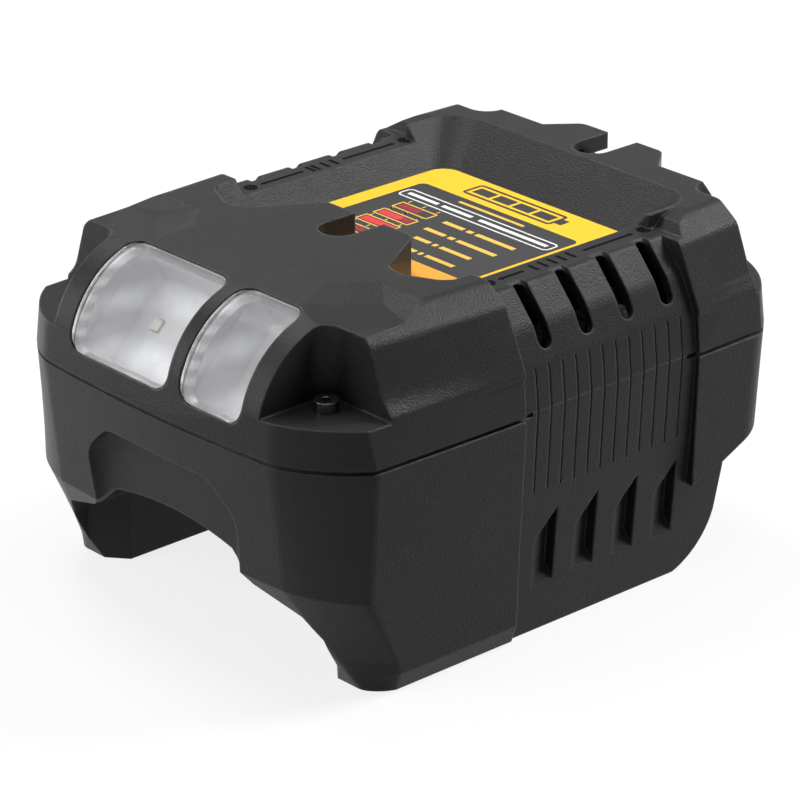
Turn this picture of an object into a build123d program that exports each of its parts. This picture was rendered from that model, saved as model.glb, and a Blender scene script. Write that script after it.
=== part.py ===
from build123d import *
import os

os.makedirs("parts", exist_ok=True)

# ------------------------------------------------------------------ whole charger
body_length = 157.4
body_width = 122.4
body_height = 88.9
split_height = 59.0
wall = 2.5
reach = 20.0
overrun = 1.0
near = 0.01
half_length = body_length / 2
half_width = body_width / 2
upper_rise = body_height - split_height

# share of a wall by which the points between two faces draw in
flat_share = 0.4
even_share = 0.5
steep_share = 0.7
belly_share = 1.1
tray_share = 0.42

# plan outline at the split line
nose_crown = 1.8
nose_half = 41.3
cheek_run = 16.9
cheek_bulge = 2.0
side_inset = 0.9
nose_radius = 9.0
cheek_radius = 4.0
rear_cheek_radius = 8.0
ledge_draft = 1.0

# proud front and rear sections of the upper housing: side profile
waist_in = 0.6
waist_share = 0.351
waist_rise = upper_rise * waist_share
knee_in = 2.0
knee_share = 0.462
knee_rise = upper_rise * knee_share
brow_in = 7.6
brow_share = 0.856
brow_rise = upper_rise * brow_share
crown_in = 13.9
waist_radius_share = 0.067
waist_radius = upper_rise * waist_radius_share
knee_radius_share = 0.201
knee_radius = upper_rise * knee_radius_share
brow_radius_share = 0.134
brow_radius = upper_rise * brow_radius_share
# how much further in each of them lies at the nose
split_taper = 1.5
waist_taper = 3.2
knee_taper = 6.0
brow_taper = 3.2
crown_taper = 2.5
# share of that taper reached at the tail
rear_taper = 0.6

# recessed grip panel between the two sections
panel_front_in = 62.2
panel_front = -half_length + panel_front_in
panel_rear_in = 38.5
panel_rear = half_length - panel_rear_in
panel_length = panel_rear - panel_front
panel_in = 1.3
panel_waist_in = 2.3
panel_waist_share = 0.318
panel_waist_rise = upper_rise * panel_waist_share
panel_knee_in = 6.8
panel_knee_share = 0.622
panel_knee_rise = upper_rise * panel_knee_share
rail_edge_in = 13.6
rail_drop = 3.6
rail_top = body_height - rail_drop
panel_radius_share = 0.334
panel_radius = upper_rise * panel_radius_share
rail_radius = 2.0

# front shoulder seen from the side
plate_break = 34.4
plate_slope_run = 11.8
plate_slope_drop = 1.9
shoulder_low_in = 2.3
shoulder_low = split_height + waist_rise
shoulder_mid_in = 9.5
shoulder_mid_share = 0.729
shoulder_mid = split_height + upper_rise * shoulder_mid_share
skirt_out = 0.2

# rear shoulder seen from the side
rear_edge_in = 12.2
rear_mid_in = 6.6

# facets on the plate's two front corners
facet_reach_in = 10.5
facet_reach = half_length - facet_reach_in
facet_run = 9.5
facet_drop = 1.7
facet_far_drop = 1.6
facet_half = 40.0
terrace_top_y_in = 43.1
terrace_top_y = -half_length + terrace_top_y_in
terrace_foot_y_in = 34.4
terrace_foot_y = -half_length + terrace_foot_y_in
terrace_drop = 2.5
terrace_fall = 0.6
hump_inner = 43.0
hump_foot_y_set = 2.1
hump_foot_y = panel_rear + hump_foot_y_set
hump_knee_y_set = 4.4
hump_knee_y = panel_rear + hump_knee_y_set
hump_knee_drop = 1.3
hump_top_y_set = 9.8
hump_top_y = panel_rear + hump_top_y_set

# top tray and the plate edge in front of it
tray_depth = 9.9
tray_floor = body_height - tray_depth
tray_half = 33.8
tray_rear_in = 33.4
tray_rear = half_length - tray_rear_in
tray_spread = 8.3
tray_rear_spread = 12.0
tray_low_radius = 5.5
tray_high_radius = 8.0
tray_front_set = 23.5
tray_front = panel_front - tray_front_set
tray_shell_front_set = 14.5
tray_shell_front = panel_front - tray_shell_front_set
tray_shell_spread = 1.42
notch_half = 5.1
notch_end_set = 8.4
notch_end = panel_front - notch_end_set
tip_y_set = 6.2
tip_y = panel_front + tip_y_set
tip_half = 15.5
tip_radius = 4.0
flank_half = 25.8
flank_y_set = 11.1
flank_y = panel_front - flank_y_set
valley_half = 31.4
valley_y_set = 12.3
valley_y = panel_front - valley_y_set
slope_half = 40.2
slope_y_set = 8.1
slope_y = panel_front - slope_y_set
hump_half = 46.2

# rear plate: two tongues and a notch
tongue_tip_in = 4.2
tongue_tip = half_length - tongue_tip_in
tongue_outer = 14.0
tongue_root = 20.5
tongue_thick = 4.3
tongue_radius = 3.5
rear_notch_end_in = 19.5
rear_notch_end = half_length - rear_notch_end_in

# corner screw pockets
ledge_share = 0.311
ledge_rise = upper_rise * ledge_share
ledge_height = split_height + ledge_rise
pocket_inner = 37.2
pocket_wall = 22.8
rear_pocket_inner = 35.5
rear_pocket_wall = 17.7
pocket_radius = 5.6
boss_radius = 4.2
screw_hole_radius = 1.8
screw_shank_radius = 1.5
screw_head_radius = 3.0
screw_head_height = 2.6
screw_recess_radius = 1.3
screw_recess_depth = 1.4
screw_length = 26.0

# shoulder slots
slot_count = 4
vent_pitch_share = 0.234
slot_pitch = panel_length * vent_pitch_share
slot_first_set = 10.1
slot_first = panel_front + slot_first_set
slot_width = 4.2
slot_length = 16.5
slot_radius = 1.9
slot_centre_x = 52.2
slot_height_share = 0.669
slot_centre_z = split_height + upper_rise * slot_height_share
slot_rise = 1.1
slot_depth = 4.5
slot_mouth_in = 15.7
slot_mouth = half_width - slot_mouth_in
slot_ramp_run = 6.0
slot_ramp_drop = 4.2

# grip grooves
groove_count = 12
groove_pitch_share = 0.076
groove_pitch = panel_length * groove_pitch_share
groove_first_set = 4.7
groove_first = panel_front + groove_first_set
groove_width = 0.45
groove_depth = 0.25
groove_top_share = 0.334
groove_top = split_height + upper_rise * groove_top_share

# lower housing: outline at five heights, each given by
# nose distance, nose half width, cheek distance, side half width
knee_height = 26.0
toe_height = 8.0
bevel_height = 4.8
knee_nose_in = 4.1
knee_nose = half_length - knee_nose_in
knee_crown = 1.4
knee_nose_half = 41.0
knee_cheek_in = 14.9
knee_cheek = half_length - knee_cheek_in
knee_side = 59.4
knee_bulge = 1.4
toe_nose_in = 15.1
toe_nose = half_length - toe_nose_in
toe_crown = 0.3
toe_nose_half = 47.5
toe_cheek_in = 24.2
toe_cheek = half_length - toe_cheek_in
toe_side = 58.7
bevel_nose_in = 16.9
bevel_nose = half_length - bevel_nose_in
bevel_nose_half = 48.6
bevel_cheek_in = 25.1
bevel_cheek = half_length - bevel_cheek_in
bevel_side = 58.6
foot_nose_in = 19.3
foot_nose = half_length - foot_nose_in
foot_nose_half = 51.5
foot_cheek_in = 25.7
foot_cheek = half_length - foot_cheek_in
foot_side = 56.8
toe_radius = 4.5
toe_cheek_radius = 2.0
toe_bulge = 0.8

# grip panel on the lower housing
panel_kink_height = 37.6
panel_kink_side = 58.8
panel_foot_side = 55.8
leg_heel_in = 40.2
leg_heel = half_length - leg_heel_in
leg_heel_mid_in = 32.7
leg_heel_mid_height = 4.6
leg_heel_mid = (half_length - leg_heel_mid_in, leg_heel_mid_height)
leg_heel_top_in = 27.5
leg_heel_top_height = 13.5
leg_heel_top = (half_length - leg_heel_top_in, leg_heel_top_height)
leg_rear_in = 25.7
leg_rear = half_length - leg_rear_in
leg_rear_height = 25.1

# rear overhang
rear_low_height = 20.0
rear_low_side = 60.0
rear_low_nose_in = 3.1
rear_low_nose = half_length - rear_low_nose_in
rear_low_nose_half = 40.5
rear_low_cheek_in = 18.5
rear_low_cheek = half_length - rear_low_cheek_in
belly_start_drop = 35.4
belly_start = split_height - belly_start_drop
belly_mid_in = 28.7
belly_mid_drop = 31.9
belly_mid = (half_length - belly_mid_in, split_height - belly_mid_drop)
belly_low_in = 13.7
belly_low_drop = 24.8
belly_low = (half_length - belly_low_in, split_height - belly_low_drop)
belly_turn_in = 4.1
belly_turn_drop = 18.0
belly_turn = (half_length - belly_turn_in, split_height - belly_turn_drop)
belly_high_in = 1.1
belly_high_drop = 9.0
belly_high = (half_length - belly_high_in, split_height - belly_high_drop)

# reveal groove round the split line
reveal_height = 1.0
reveal_depth = 0.9
reveal_overrun = 2.4
reveal_end_radius = 0.7

# front scoop and battery tunnel
scoop_face_in = 6.2
scoop_face = half_length - scoop_face_in
scoop_drop = 11.0
scoop_top = split_height - scoop_drop
scoop_top_half = 18.3
scoop_half = 27.4
scoop_corner_radius = 8.0
scoop_back_radius = 4.0
scoop_low = 20.0
mouth_crown = 32.6
mouth_arc_half = 22.0
mouth_arc_low = 30.0
mouth_lip_half = 29.4
mouth_lip_height = 23.4
mouth_step_half = 42.8
mouth_step_height = 18.9
mouth_side_half = 46.2
mouth_side_height = 13.0
flare_front_in = 17.2
flare_front = half_length - flare_front_in
flare_rear_in = 23.7
flare_rear = half_length - flare_rear_in
throat_edge = 1.0
tunnel_half = 38.3
tunnel_guide = 23.3
channel_half = 29.5
channel_top = 36.0
tunnel_end_in = 30.1
tunnel_end = half_length - tunnel_end_in

# faceted louvres low on the sides
louvre_count = 4
louvre_pitch = panel_length * vent_pitch_share
louvre_start_set = 6.1
louvre_start = panel_front + louvre_start_set
louvre_width = 7.0
louvre_depth = 3.0
louvre_low = 12.2
louvre_high = 24.5
louvre_peak = 31.8
louvre_sill = 4.5
louvre_lean = 0.08
louvre_back = 0.3

# light windows
window_low_share = 0.181
window_low_z = split_height + upper_rise * window_low_share
window_high_drop = 2.0
window_high_z = body_height - window_high_drop
window_low_in = 1.5
window_high_in = 22.6
window_edge = 31.1
bar_left = 5.0
bar_right = 9.0
window_radius = 4.0
window_gap = 0.3
window_pass = 7.5
lens_thick = 2.0
lens_sink = 0.25
box_depth = 9.0
box_wall = 1.0
box_floor_in = 3.5
box_radius = 3.0
box_inner_radius = 2.0

# bosses and posts inside the lower housing
boss_low = mouth_step_height + wall * even_share
boss_drop = split_height - boss_low
post_drop = 16.0
screw_hole_depth = 20.0
louvre_back_width = 8.0

# terminal block in the tunnel roof
blade_count = 6
blade_pitch = 7.6
blade_thick = 0.8
blade_leg = 3.0
blade_rear_set = 3.1
blade_rear = tunnel_end - blade_rear_set
blade_front_set = 26.6
blade_front = tunnel_end - blade_front_set
blade_low = 27.5
blade_high = 32.5
block_half = 24.0
block_front_set = 15.6
block_front = tunnel_end - block_front_set
block_rear_set = 0.6
block_rear = tunnel_end - block_rear_set
block_low = 25.0
block_radius = 1.0

# cord gland in the rear wall
gland_x = -26.0
gland_drop = 7.8
gland_z = split_height - gland_drop
gland_hole_radius = 5.0
gland_sleeve_radius = 4.8
gland_bore_radius = 3.2
gland_outer_y_in = 2.3
gland_outer_y = half_length - gland_outer_y_in
gland_inner_y_in = 9.7
gland_inner_y = half_length - gland_inner_y_in
gland_flange_radius = 6.2
gland_flange_front_in = 8.3
gland_flange_front = half_length - gland_flange_front_in
gland_flange_thick = 1.8

# label
label_thick = 0.5
label_margin = 0.5

# circuit board and what stands on it
board_lift = 5.5
board_z = channel_top + wall + board_lift
board_thick = 1.6
board_half = 47.0
board_front_in = 28.7
board_front = -half_length + board_front_in
board_rear_in = 10.7
board_rear = half_length - board_rear_in
board_chamfer = 16.0
post_x = 24.0
post_front_set = 8.0
post_front = board_front + post_front_set
post_rear_set = 12.0
post_rear = board_rear - post_rear_set
post_radius = 3.5
post_screw_radius = 1.2
post_hole_radius = 1.5
post_screw_head = 2.6
post_screw_head_height = 1.8
post_screw_length = 6.0
sheet_thick = 0.4
fit_gap = 0.2

board_top = board_z + board_thick
blade_tail = 1.0
blade_top = board_top + blade_tail
headroom = tray_floor - wall - board_top
small_edge = 0.3

# lamps behind the windows
box_start = 3.0
box_margin = 0.5
light_board_half = 28.0
light_board_height = 20.0
light_board_radius = 2.0
light_board_thick = 1.2
lamp_rib_thick = 2.0
emitter_xs = (-20.0, -6.0, 20.0)
emitter_size = 3.0
emitter_height = 1.6

# wound parts
coil_gap = 0.3
coil_radius = 3.0
core_x = -12.0
core_y = 10.0
core_width = 32.0
core_depth = 11.0
core_gap = 7.0
core_height = headroom - core_gap
core_limb = 9.0
core_window = 7.0
coil_out = 6.0
choke_x = -8.0
choke_y_set = 11.0
choke_y = board_rear - choke_y_set
choke_width = 20.0
choke_depth = 7.0
choke_height = 18.0
choke_limb = 5.0
choke_window = 5.0
choke_out = 4.0

# capacitors, rectifier, chips, fuse, varistor
bulk_x = -26.0
bulk_y = -20.0
bulk_radius = 9.0
bulk_gap = 6.0
bulk_height = headroom - bulk_gap
output_x = 24.0
output_y = -22.0
output_pitch = 13.0
output_radius = 5.0
output_height = 20.0
can_edge = 0.6
safety_x = 12.0
safety_y_set = 17.8
safety_y = board_rear - safety_y_set
safety_size = (17.0, 7.0, 14.0)
bridge_x = -32.0
bridge_y_set = 41.0
bridge_y = board_rear - bridge_y_set
bridge_size = (15.0, 4.0, 11.0)
opto_x = 10.0
opto_y = -4.0
opto_size = (6.5, 4.6, 3.5)
chip_x = 8.0
chip_y = -26.0
chip_size = (9.9, 3.9, 1.8)
varistor_x = 28.0
varistor_y_set = 32.0
varistor_y = board_rear - varistor_y_set
varistor_radius = 5.0
varistor_thick = 4.0
varistor_leg = 3.0
varistor_lead = 0.8
fuse_x = 20.0
fuse_y_set = 6.0
fuse_y = board_rear - fuse_y_set
fuse_length = 20.0
fuse_radius = 2.3
fuse_cap_radius = 2.6
fuse_cap_length = 5.0

# heat sinks and power packages
sink_x = 41.0
sink_y = 6.0
sink_thick = 1.6
sink_length = 42.0
sink_gap = 7.0
sink_height = headroom - sink_gap
sink_foot = 6.0
sink_fins = 6
sink_fin_depth = 5.0
package_lift = 5.0
package_tab = 1.3
package_thick = 4.5
package_width = 10.2
package_height = 15.0
package_body = 9.2
package_pitch = 2.54
package_lead = 0.8
package_leads = 3


def above(y):
    """Vertical plane across the charger at the given y, X right and Z up."""
    return Plane.XZ.offset(-y)


def outline(nose, crown, nose_x, cheek, side, side_back, bulge, back, front_radius, side_radius):
    """Face between a back line and a crowned nose with bulged diagonal cheeks."""
    with BuildSketch() as sketch:
        with BuildLine():
            start = Vector(side, -cheek)
            end = Vector(nose_x, crown - nose)
            outward = Vector(start.Y - end.Y, end.X - start.X).normalized()
            Line((0, back), (side_back, back))
            Line((side_back, back), start)
            ThreePointArc(start, (start + end) / 2 + outward * bulge, end)
            mirror(about=Plane.YZ)
            ThreePointArc((nose_x, crown - nose), (0, -nose), (-nose_x, crown - nose))
        make_face()
        corners = sketch.vertices().filter_by(lambda v: abs(v.Y - end.Y) < near)
        fillet(corners.filter_by(lambda v: abs(abs(v.X) - nose_x) < near), front_radius)
        corners = sketch.vertices().filter_by(lambda v: abs(v.Y - start.Y) < near)
        fillet(corners.filter_by(lambda v: abs(abs(v.X) - side) < near), side_radius)
    return sketch.sketch


def split_outline(inset, narrowing, back, side_radius):
    """Outline of the nose at the split line, drawn in by a wall."""
    return outline(
        half_length - inset,
        nose_crown,
        nose_half - inset * flat_share,
        half_length - cheek_run - inset * flat_share,
        half_width - narrowing - inset,
        half_width - inset,
        cheek_bulge,
        back,
        nose_radius - inset,
        side_radius,
    )


def side_profile(plane, inset, taper):
    """Upper housing cross-section, drawn in towards the nose by taper (0 to 1)."""
    with BuildSketch(plane) as sketch:
        with BuildLine():
            split_x = half_width - split_taper * taper - inset
            top = body_height - inset
            brow_z = split_height + brow_rise - inset * flat_share
            FilletPolyline(
                (split_x, split_height),
                (half_width - waist_in - waist_taper * taper - inset, split_height + waist_rise),
                (half_width - knee_in - knee_taper * taper - inset, split_height + knee_rise),
                (half_width - brow_in - brow_taper * taper - inset, brow_z),
                (half_width - crown_in - crown_taper * taper - inset * flat_share, top),
                (0, top),
                radius=(waist_radius, knee_radius, brow_radius, brow_radius),
            )
            Line((split_x, split_height), (0, split_height))
            mirror(about=Plane.YZ)
        make_face()
    return sketch.sketch


def panel_profile(plane, inset):
    """Upper housing cross-section in the grip panel, up to the rails."""
    with BuildSketch(plane) as sketch:
        with BuildLine():
            top = rail_top - inset
            knee_z = split_height + panel_knee_rise - inset * flat_share
            FilletPolyline(
                (half_width - panel_in - inset, split_height),
                (half_width - panel_waist_in - inset, split_height + panel_waist_rise),
                (half_width - panel_knee_in - inset, knee_z),
                (half_width - rail_edge_in - inset * even_share, top),
                (0, top),
                radius=(panel_radius, panel_radius, rail_radius),
            )
            Line((half_width - panel_in - inset, split_height), (0, split_height))
            mirror(about=Plane.YZ)
        make_face()
    return sketch.sketch


def shoulder_profile(inset):
    """Upper housing seen from the side, between front and rear shoulders."""
    with BuildSketch(Plane.YZ) as sketch:
        with BuildLine():
            top = body_height - inset
            slope_end = (-half_length + plate_break - plate_slope_run, top - plate_slope_drop)
            low = (-half_length + shoulder_low_in + inset, shoulder_low - inset * even_share)
            mid = (-half_length + shoulder_mid_in + inset * steep_share, shoulder_mid - inset * steep_share)
            rear_low = (half_length - shoulder_low_in - inset, shoulder_low - inset * even_share)
            steep = inset * steep_share
            rear_mid_point = (half_length - rear_mid_in - steep, shoulder_mid - steep)
            rear_top = (half_length - rear_edge_in - inset * flat_share, top)
            foot = half_length + skirt_out - inset
            Polyline((-foot, split_height), (foot, split_height), rear_low)
            ThreePointArc(rear_low, rear_mid_point, rear_top)
            Polyline(rear_top, (-half_length + plate_break, top), slope_end)
            ThreePointArc(slope_end, mid, low)
            Line(low, (-foot, split_height))
        make_face()
    return sketch.sketch


def upper_form(inset):
    """Outer shape of the upper housing, drawn in by a wall."""
    nose_section = side_profile(above(-half_length - overrun), inset, 1)
    front_section = side_profile(above(panel_front - inset), inset, 0)
    middle_section = panel_profile(above(panel_rear + inset + overrun), inset)
    rear_section = side_profile(above(panel_rear + inset), inset, 0)
    tail_section = side_profile(above(half_length + overrun), inset, rear_taper)
    end_section = shoulder_profile(inset)
    low_height = split_height
    high_height = ledge_height + ledge_draft
    front_low = Pos(0, 0, low_height) * split_outline(inset, side_inset, 0, cheek_radius)
    front_high = Pos(0, 0, high_height) * split_outline(inset + ledge_draft, side_inset, 0, cheek_radius)
    rear_low = Pos(0, 0, low_height) * split_outline(inset, 0, 0, rear_cheek_radius)
    rear_high = Pos(0, 0, high_height) * split_outline(inset + ledge_draft, 0, 0, rear_cheek_radius)
    with BuildPart() as sides:
        loft([front_section, nose_section], ruled=True)
        extrude(middle_section, amount=panel_rear - panel_front + 2 * inset + 2 * overrun)
        loft([rear_section, tail_section], ruled=True)
    with BuildPart() as ends:
        extrude(end_section, amount=half_width + overrun, both=True)
    with BuildPart() as plan:
        loft([rear_low, rear_high], ruled=True)
        mirror(about=Plane.XZ)
        with BuildSketch(Plane.XY.offset(split_height)):
            Rectangle(body_width + overrun, half_length + overrun, align=(Align.CENTER, Align.MAX))
        extrude(amount=body_height - split_height + overrun, mode=Mode.SUBTRACT)
        loft([front_low, front_high], ruled=True)
        with BuildSketch(Plane.XY.offset(ledge_height)):
            Rectangle(body_width, body_length)
        extrude(amount=body_height - ledge_height + overrun)
        with BuildSketch(Plane.XY.offset(split_height)):
            Rectangle(body_width, cheek_run)
        extrude(amount=body_height - split_height + overrun)
    return sides.part & ends.part & plan.part


def tray_block(grow, front, spread):
    """Sloped-wall tray, grown outwards for the shell under it."""
    with BuildPart() as block:
        low_half = tray_half + grow * tray_share
        high_half = tray_half + tray_spread + grow * spread
        with BuildSketch(Plane.XY.offset(tray_floor - grow)):
            low_rear = tray_rear + grow * tray_share
            with Locations((0, (low_rear + front) / 2)):
                RectangleRounded(2 * low_half, low_rear - front, tray_low_radius)
        with BuildSketch(Plane.XY.offset(body_height)):
            high_rear = tray_rear + tray_rear_spread + grow * spread
            with Locations((0, (high_rear + front - tray_spread) / 2)):
                RectangleRounded(2 * high_half, high_rear - front + tray_spread, tray_high_radius)
        loft(ruled=True)
        extrude(block.faces().sort_by(Axis.Z)[-1], amount=reach)
    return block.part


def plate_edge(grow):
    """Everything ahead of the front plate's rear edge, with its U notch."""
    with BuildPart() as block:
        with BuildSketch(Plane.XY.offset(tray_floor - overrun)) as edge:
            with BuildLine():
                Polyline(
                    (0, tip_y + grow),
                    (tip_half + grow, tip_y + grow),
                    (flank_half + grow, flank_y + grow),
                    (valley_half, valley_y + grow),
                    (slope_half, slope_y + grow),
                    (hump_half, panel_front + grow),
                    (half_width + overrun, panel_front + grow),
                    (half_width + overrun, -half_length - overrun),
                    (0, -half_length - overrun),
                )
                mirror(about=Plane.YZ)
            make_face()
            bends = (
                (tip_half + grow, tip_y),
                (flank_half + grow, flank_y),
                (valley_half, valley_y),
                (slope_half, slope_y),
            )
            for x, y in bends:
                level = edge.vertices().filter_by(lambda v: abs(v.Y - y - grow) < near)
                fillet(level.filter_by(lambda v: abs(abs(v.X) - x) < near), tip_radius)
            with Locations((0, notch_end + notch_half)):
                open_half = notch_half - grow
                Circle(open_half, mode=Mode.SUBTRACT)
                Rectangle(2 * open_half, reach, align=(Align.CENTER, Align.MIN), mode=Mode.SUBTRACT)
        extrude(amount=reach)
    return block.part


def pocket_block(grow):
    """Four corner screw pockets, round behind each screw."""
    with BuildPart() as block:
        for inner, run, side in ((pocket_inner, pocket_wall, -1), (rear_pocket_inner, rear_pocket_wall, 1)):
            away = Align.MAX if side < 0 else Align.MIN
            with BuildSketch(Plane.XY.offset(ledge_height - grow)) as pocket:
                with Locations((inner - grow, side * (half_length - run - grow))):
                    Rectangle(half_width, half_length, align=(Align.MIN, away))
                walls = pocket.vertices().filter_by(lambda v: abs(v.X - inner + grow) < near)
                fillet(walls.filter_by(lambda v: abs(v.Y) < half_length - run), pocket_radius + grow)
            extrude(amount=reach * 2)
        mirror(about=Plane.YZ)
    return block.part


def screw_spots():
    """Axes of the four corner screws."""
    front_y = half_length - pocket_wall + pocket_radius
    rear_y = half_length - rear_pocket_wall + pocket_radius
    front_x = pocket_inner + pocket_radius
    rear_x = rear_pocket_inner + pocket_radius
    return [(front_x, -front_y), (-front_x, -front_y), (rear_x, rear_y), (-rear_x, rear_y)]


def facet_block():
    """Material above the plate's front corners: a diagonal facet that runs into a sloping terrace."""
    with BuildPart() as block:
        start = (facet_reach / 2, -facet_reach / 2, body_height)
        with BuildSketch(Plane(origin=start, x_dir=(1, -1, 0), z_dir=(-1, -1, 0))):
            with BuildLine():
                Polyline(
                    (0, 0),
                    (facet_run, -facet_drop),
                    (facet_run + reach, -facet_drop - facet_far_drop),
                    (facet_run + reach, reach),
                    (0, reach),
                    close=True,
                )
            make_face()
        extrude(amount=facet_half, both=True)
        mirror(about=Plane.YZ)
        with BuildSketch(Plane.YZ):
            with BuildLine():
                Polyline(
                    (terrace_top_y, body_height),
                    (terrace_foot_y, body_height - terrace_drop),
                    (-half_length, body_height - terrace_drop - terrace_fall),
                    (-half_length, body_height + reach),
                    (terrace_top_y, body_height + reach),
                    close=True,
                )
            make_face()
        extrude(amount=half_width, both=True, mode=Mode.INTERSECT)
    return block.part


def hump_front_block():
    """Material above the sloping fronts of the rear humps."""
    with BuildPart() as block:
        with BuildSketch(Plane.YZ.offset(hump_inner)):
            with BuildLine():
                Polyline(
                    (panel_rear - overrun, rail_top),
                    (hump_foot_y, rail_top),
                    (hump_knee_y, body_height - hump_knee_drop),
                    (hump_top_y, body_height),
                    (hump_top_y, body_height + reach),
                    (panel_rear - overrun, body_height + reach),
                    close=True,
                )
            make_face()
        extrude(amount=half_width)
        mirror(about=Plane.YZ)
    return block.part


def lower_outline(height, nose, crown, nose_x, cheek, side, bulge, radii, inset):
    """One level of the lower housing's front half."""
    nose_corner = nose_x - inset * flat_share
    cheek_corner = cheek - inset * flat_share
    half = side - inset
    back = panel_front - inset
    nose_round, cheek_round = radii
    nose_y = nose - inset
    face = outline(
        nose_y, crown, nose_corner, cheek_corner, half, half, bulge, back, nose_round, cheek_round
    )
    return Pos(0, 0, height) * face


def lower_front(inset):
    """Front half of the lower housing, five levels joined by ruled faces."""
    rim = split_outline(inset, side_inset, panel_front - inset, cheek_radius)
    top = Pos(0, 0, split_height) * rim
    knee_z = knee_height
    toe_z = toe_height + inset * flat_share
    bevel_z = bevel_height + inset * steep_share
    high_radii = (nose_radius - inset, cheek_radius)
    low_radii = (toe_radius, toe_cheek_radius)
    knee = lower_outline(
        knee_z, knee_nose, knee_crown, knee_nose_half, knee_cheek, knee_side, knee_bulge, high_radii, inset
    )
    toe = lower_outline(
        toe_z, toe_nose, toe_crown, toe_nose_half, toe_cheek, toe_side, toe_bulge, low_radii, inset
    )
    bevel = lower_outline(
        bevel_z, bevel_nose, toe_crown, bevel_nose_half, bevel_cheek, bevel_side, toe_bulge, low_radii, inset
    )
    foot = lower_outline(
        inset, foot_nose, toe_crown, foot_nose_half, foot_cheek, foot_side, toe_bulge, low_radii, inset
    )
    with BuildPart() as front:
        loft([top, knee], ruled=True)
        loft([knee, toe], ruled=True)
        loft([toe, bevel], ruled=True)
        loft([bevel, foot], ruled=True)
    return front.part


def lower_middle(inset):
    """Grip panel part of the lower housing with the round heel of the legs."""
    with BuildPart() as sides:
        with BuildSketch(above(leg_rear + overrun)):
            with BuildLine():
                Polyline(
                    (0, inset),
                    (panel_foot_side - inset, inset),
                    (panel_kink_side - inset, panel_kink_height),
                    (half_width - panel_in - inset, split_height),
                    (0, split_height),
                )
                mirror(about=Plane.YZ)
            make_face()
        extrude(amount=leg_rear - panel_front + inset + 2 * overrun)
    with BuildPart() as heel:
        with BuildSketch(Plane.YZ):
            with BuildLine():
                low = (leg_heel - inset * even_share, inset)
                mid = (leg_heel_mid[0] - inset * steep_share, leg_heel_mid[1] + inset * steep_share)
                high = (leg_heel_top[0] - inset, leg_heel_top[1])
                ThreePointArc(low, mid, high)
                Polyline(
                    high,
                    (leg_rear - inset, leg_rear_height),
                    (leg_rear - inset, split_height),
                    (panel_front - inset - overrun, split_height),
                    (panel_front - inset - overrun, inset),
                    low,
                )
            make_face()
        extrude(amount=half_width, both=True)
    return sides.part & heel.part


def lower_rear(inset):
    """Rear overhang with its rising belly."""
    top = split_outline(inset, 0, -panel_rear - inset, rear_cheek_radius)
    low = outline(
        rear_low_nose - inset,
        nose_crown,
        rear_low_nose_half - inset * flat_share,
        rear_low_cheek - inset * flat_share,
        rear_low_side - inset,
        rear_low_side - inset,
        cheek_bulge,
        -panel_rear - inset,
        nose_radius - inset,
        rear_cheek_radius,
    )
    with BuildPart() as plan:
        loft([Pos(0, 0, split_height) * top, Pos(0, 0, rear_low_height) * low], ruled=True)
    with BuildPart() as belly:
        with BuildSketch(Plane.YZ):
            with BuildLine():
                rise = inset * belly_share
                start = (panel_rear + inset - overrun, belly_start + rise)
                turn_low = (belly_low[0] - inset * even_share, belly_low[1] + rise)
                turn_mid = (belly_turn[0] - inset, belly_turn[1] + inset)
                turn_high = (belly_high[0] - inset, belly_high[1])
                Polyline(start, (belly_mid[0], belly_mid[1] + rise), turn_low)
                ThreePointArc(turn_low, turn_mid, turn_high)
                foot = half_length + skirt_out - inset
                Polyline(turn_high, (foot, split_height), (start[0], split_height), start)
            make_face()
        extrude(amount=half_width + overrun, both=True)
    return mirror(plan.part, about=Plane.XZ) & belly.part


def lower_form(inset):
    """Outer shape of the lower housing, drawn in by a wall."""
    return lower_front(inset) + lower_middle(inset) + lower_rear(inset)


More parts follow.
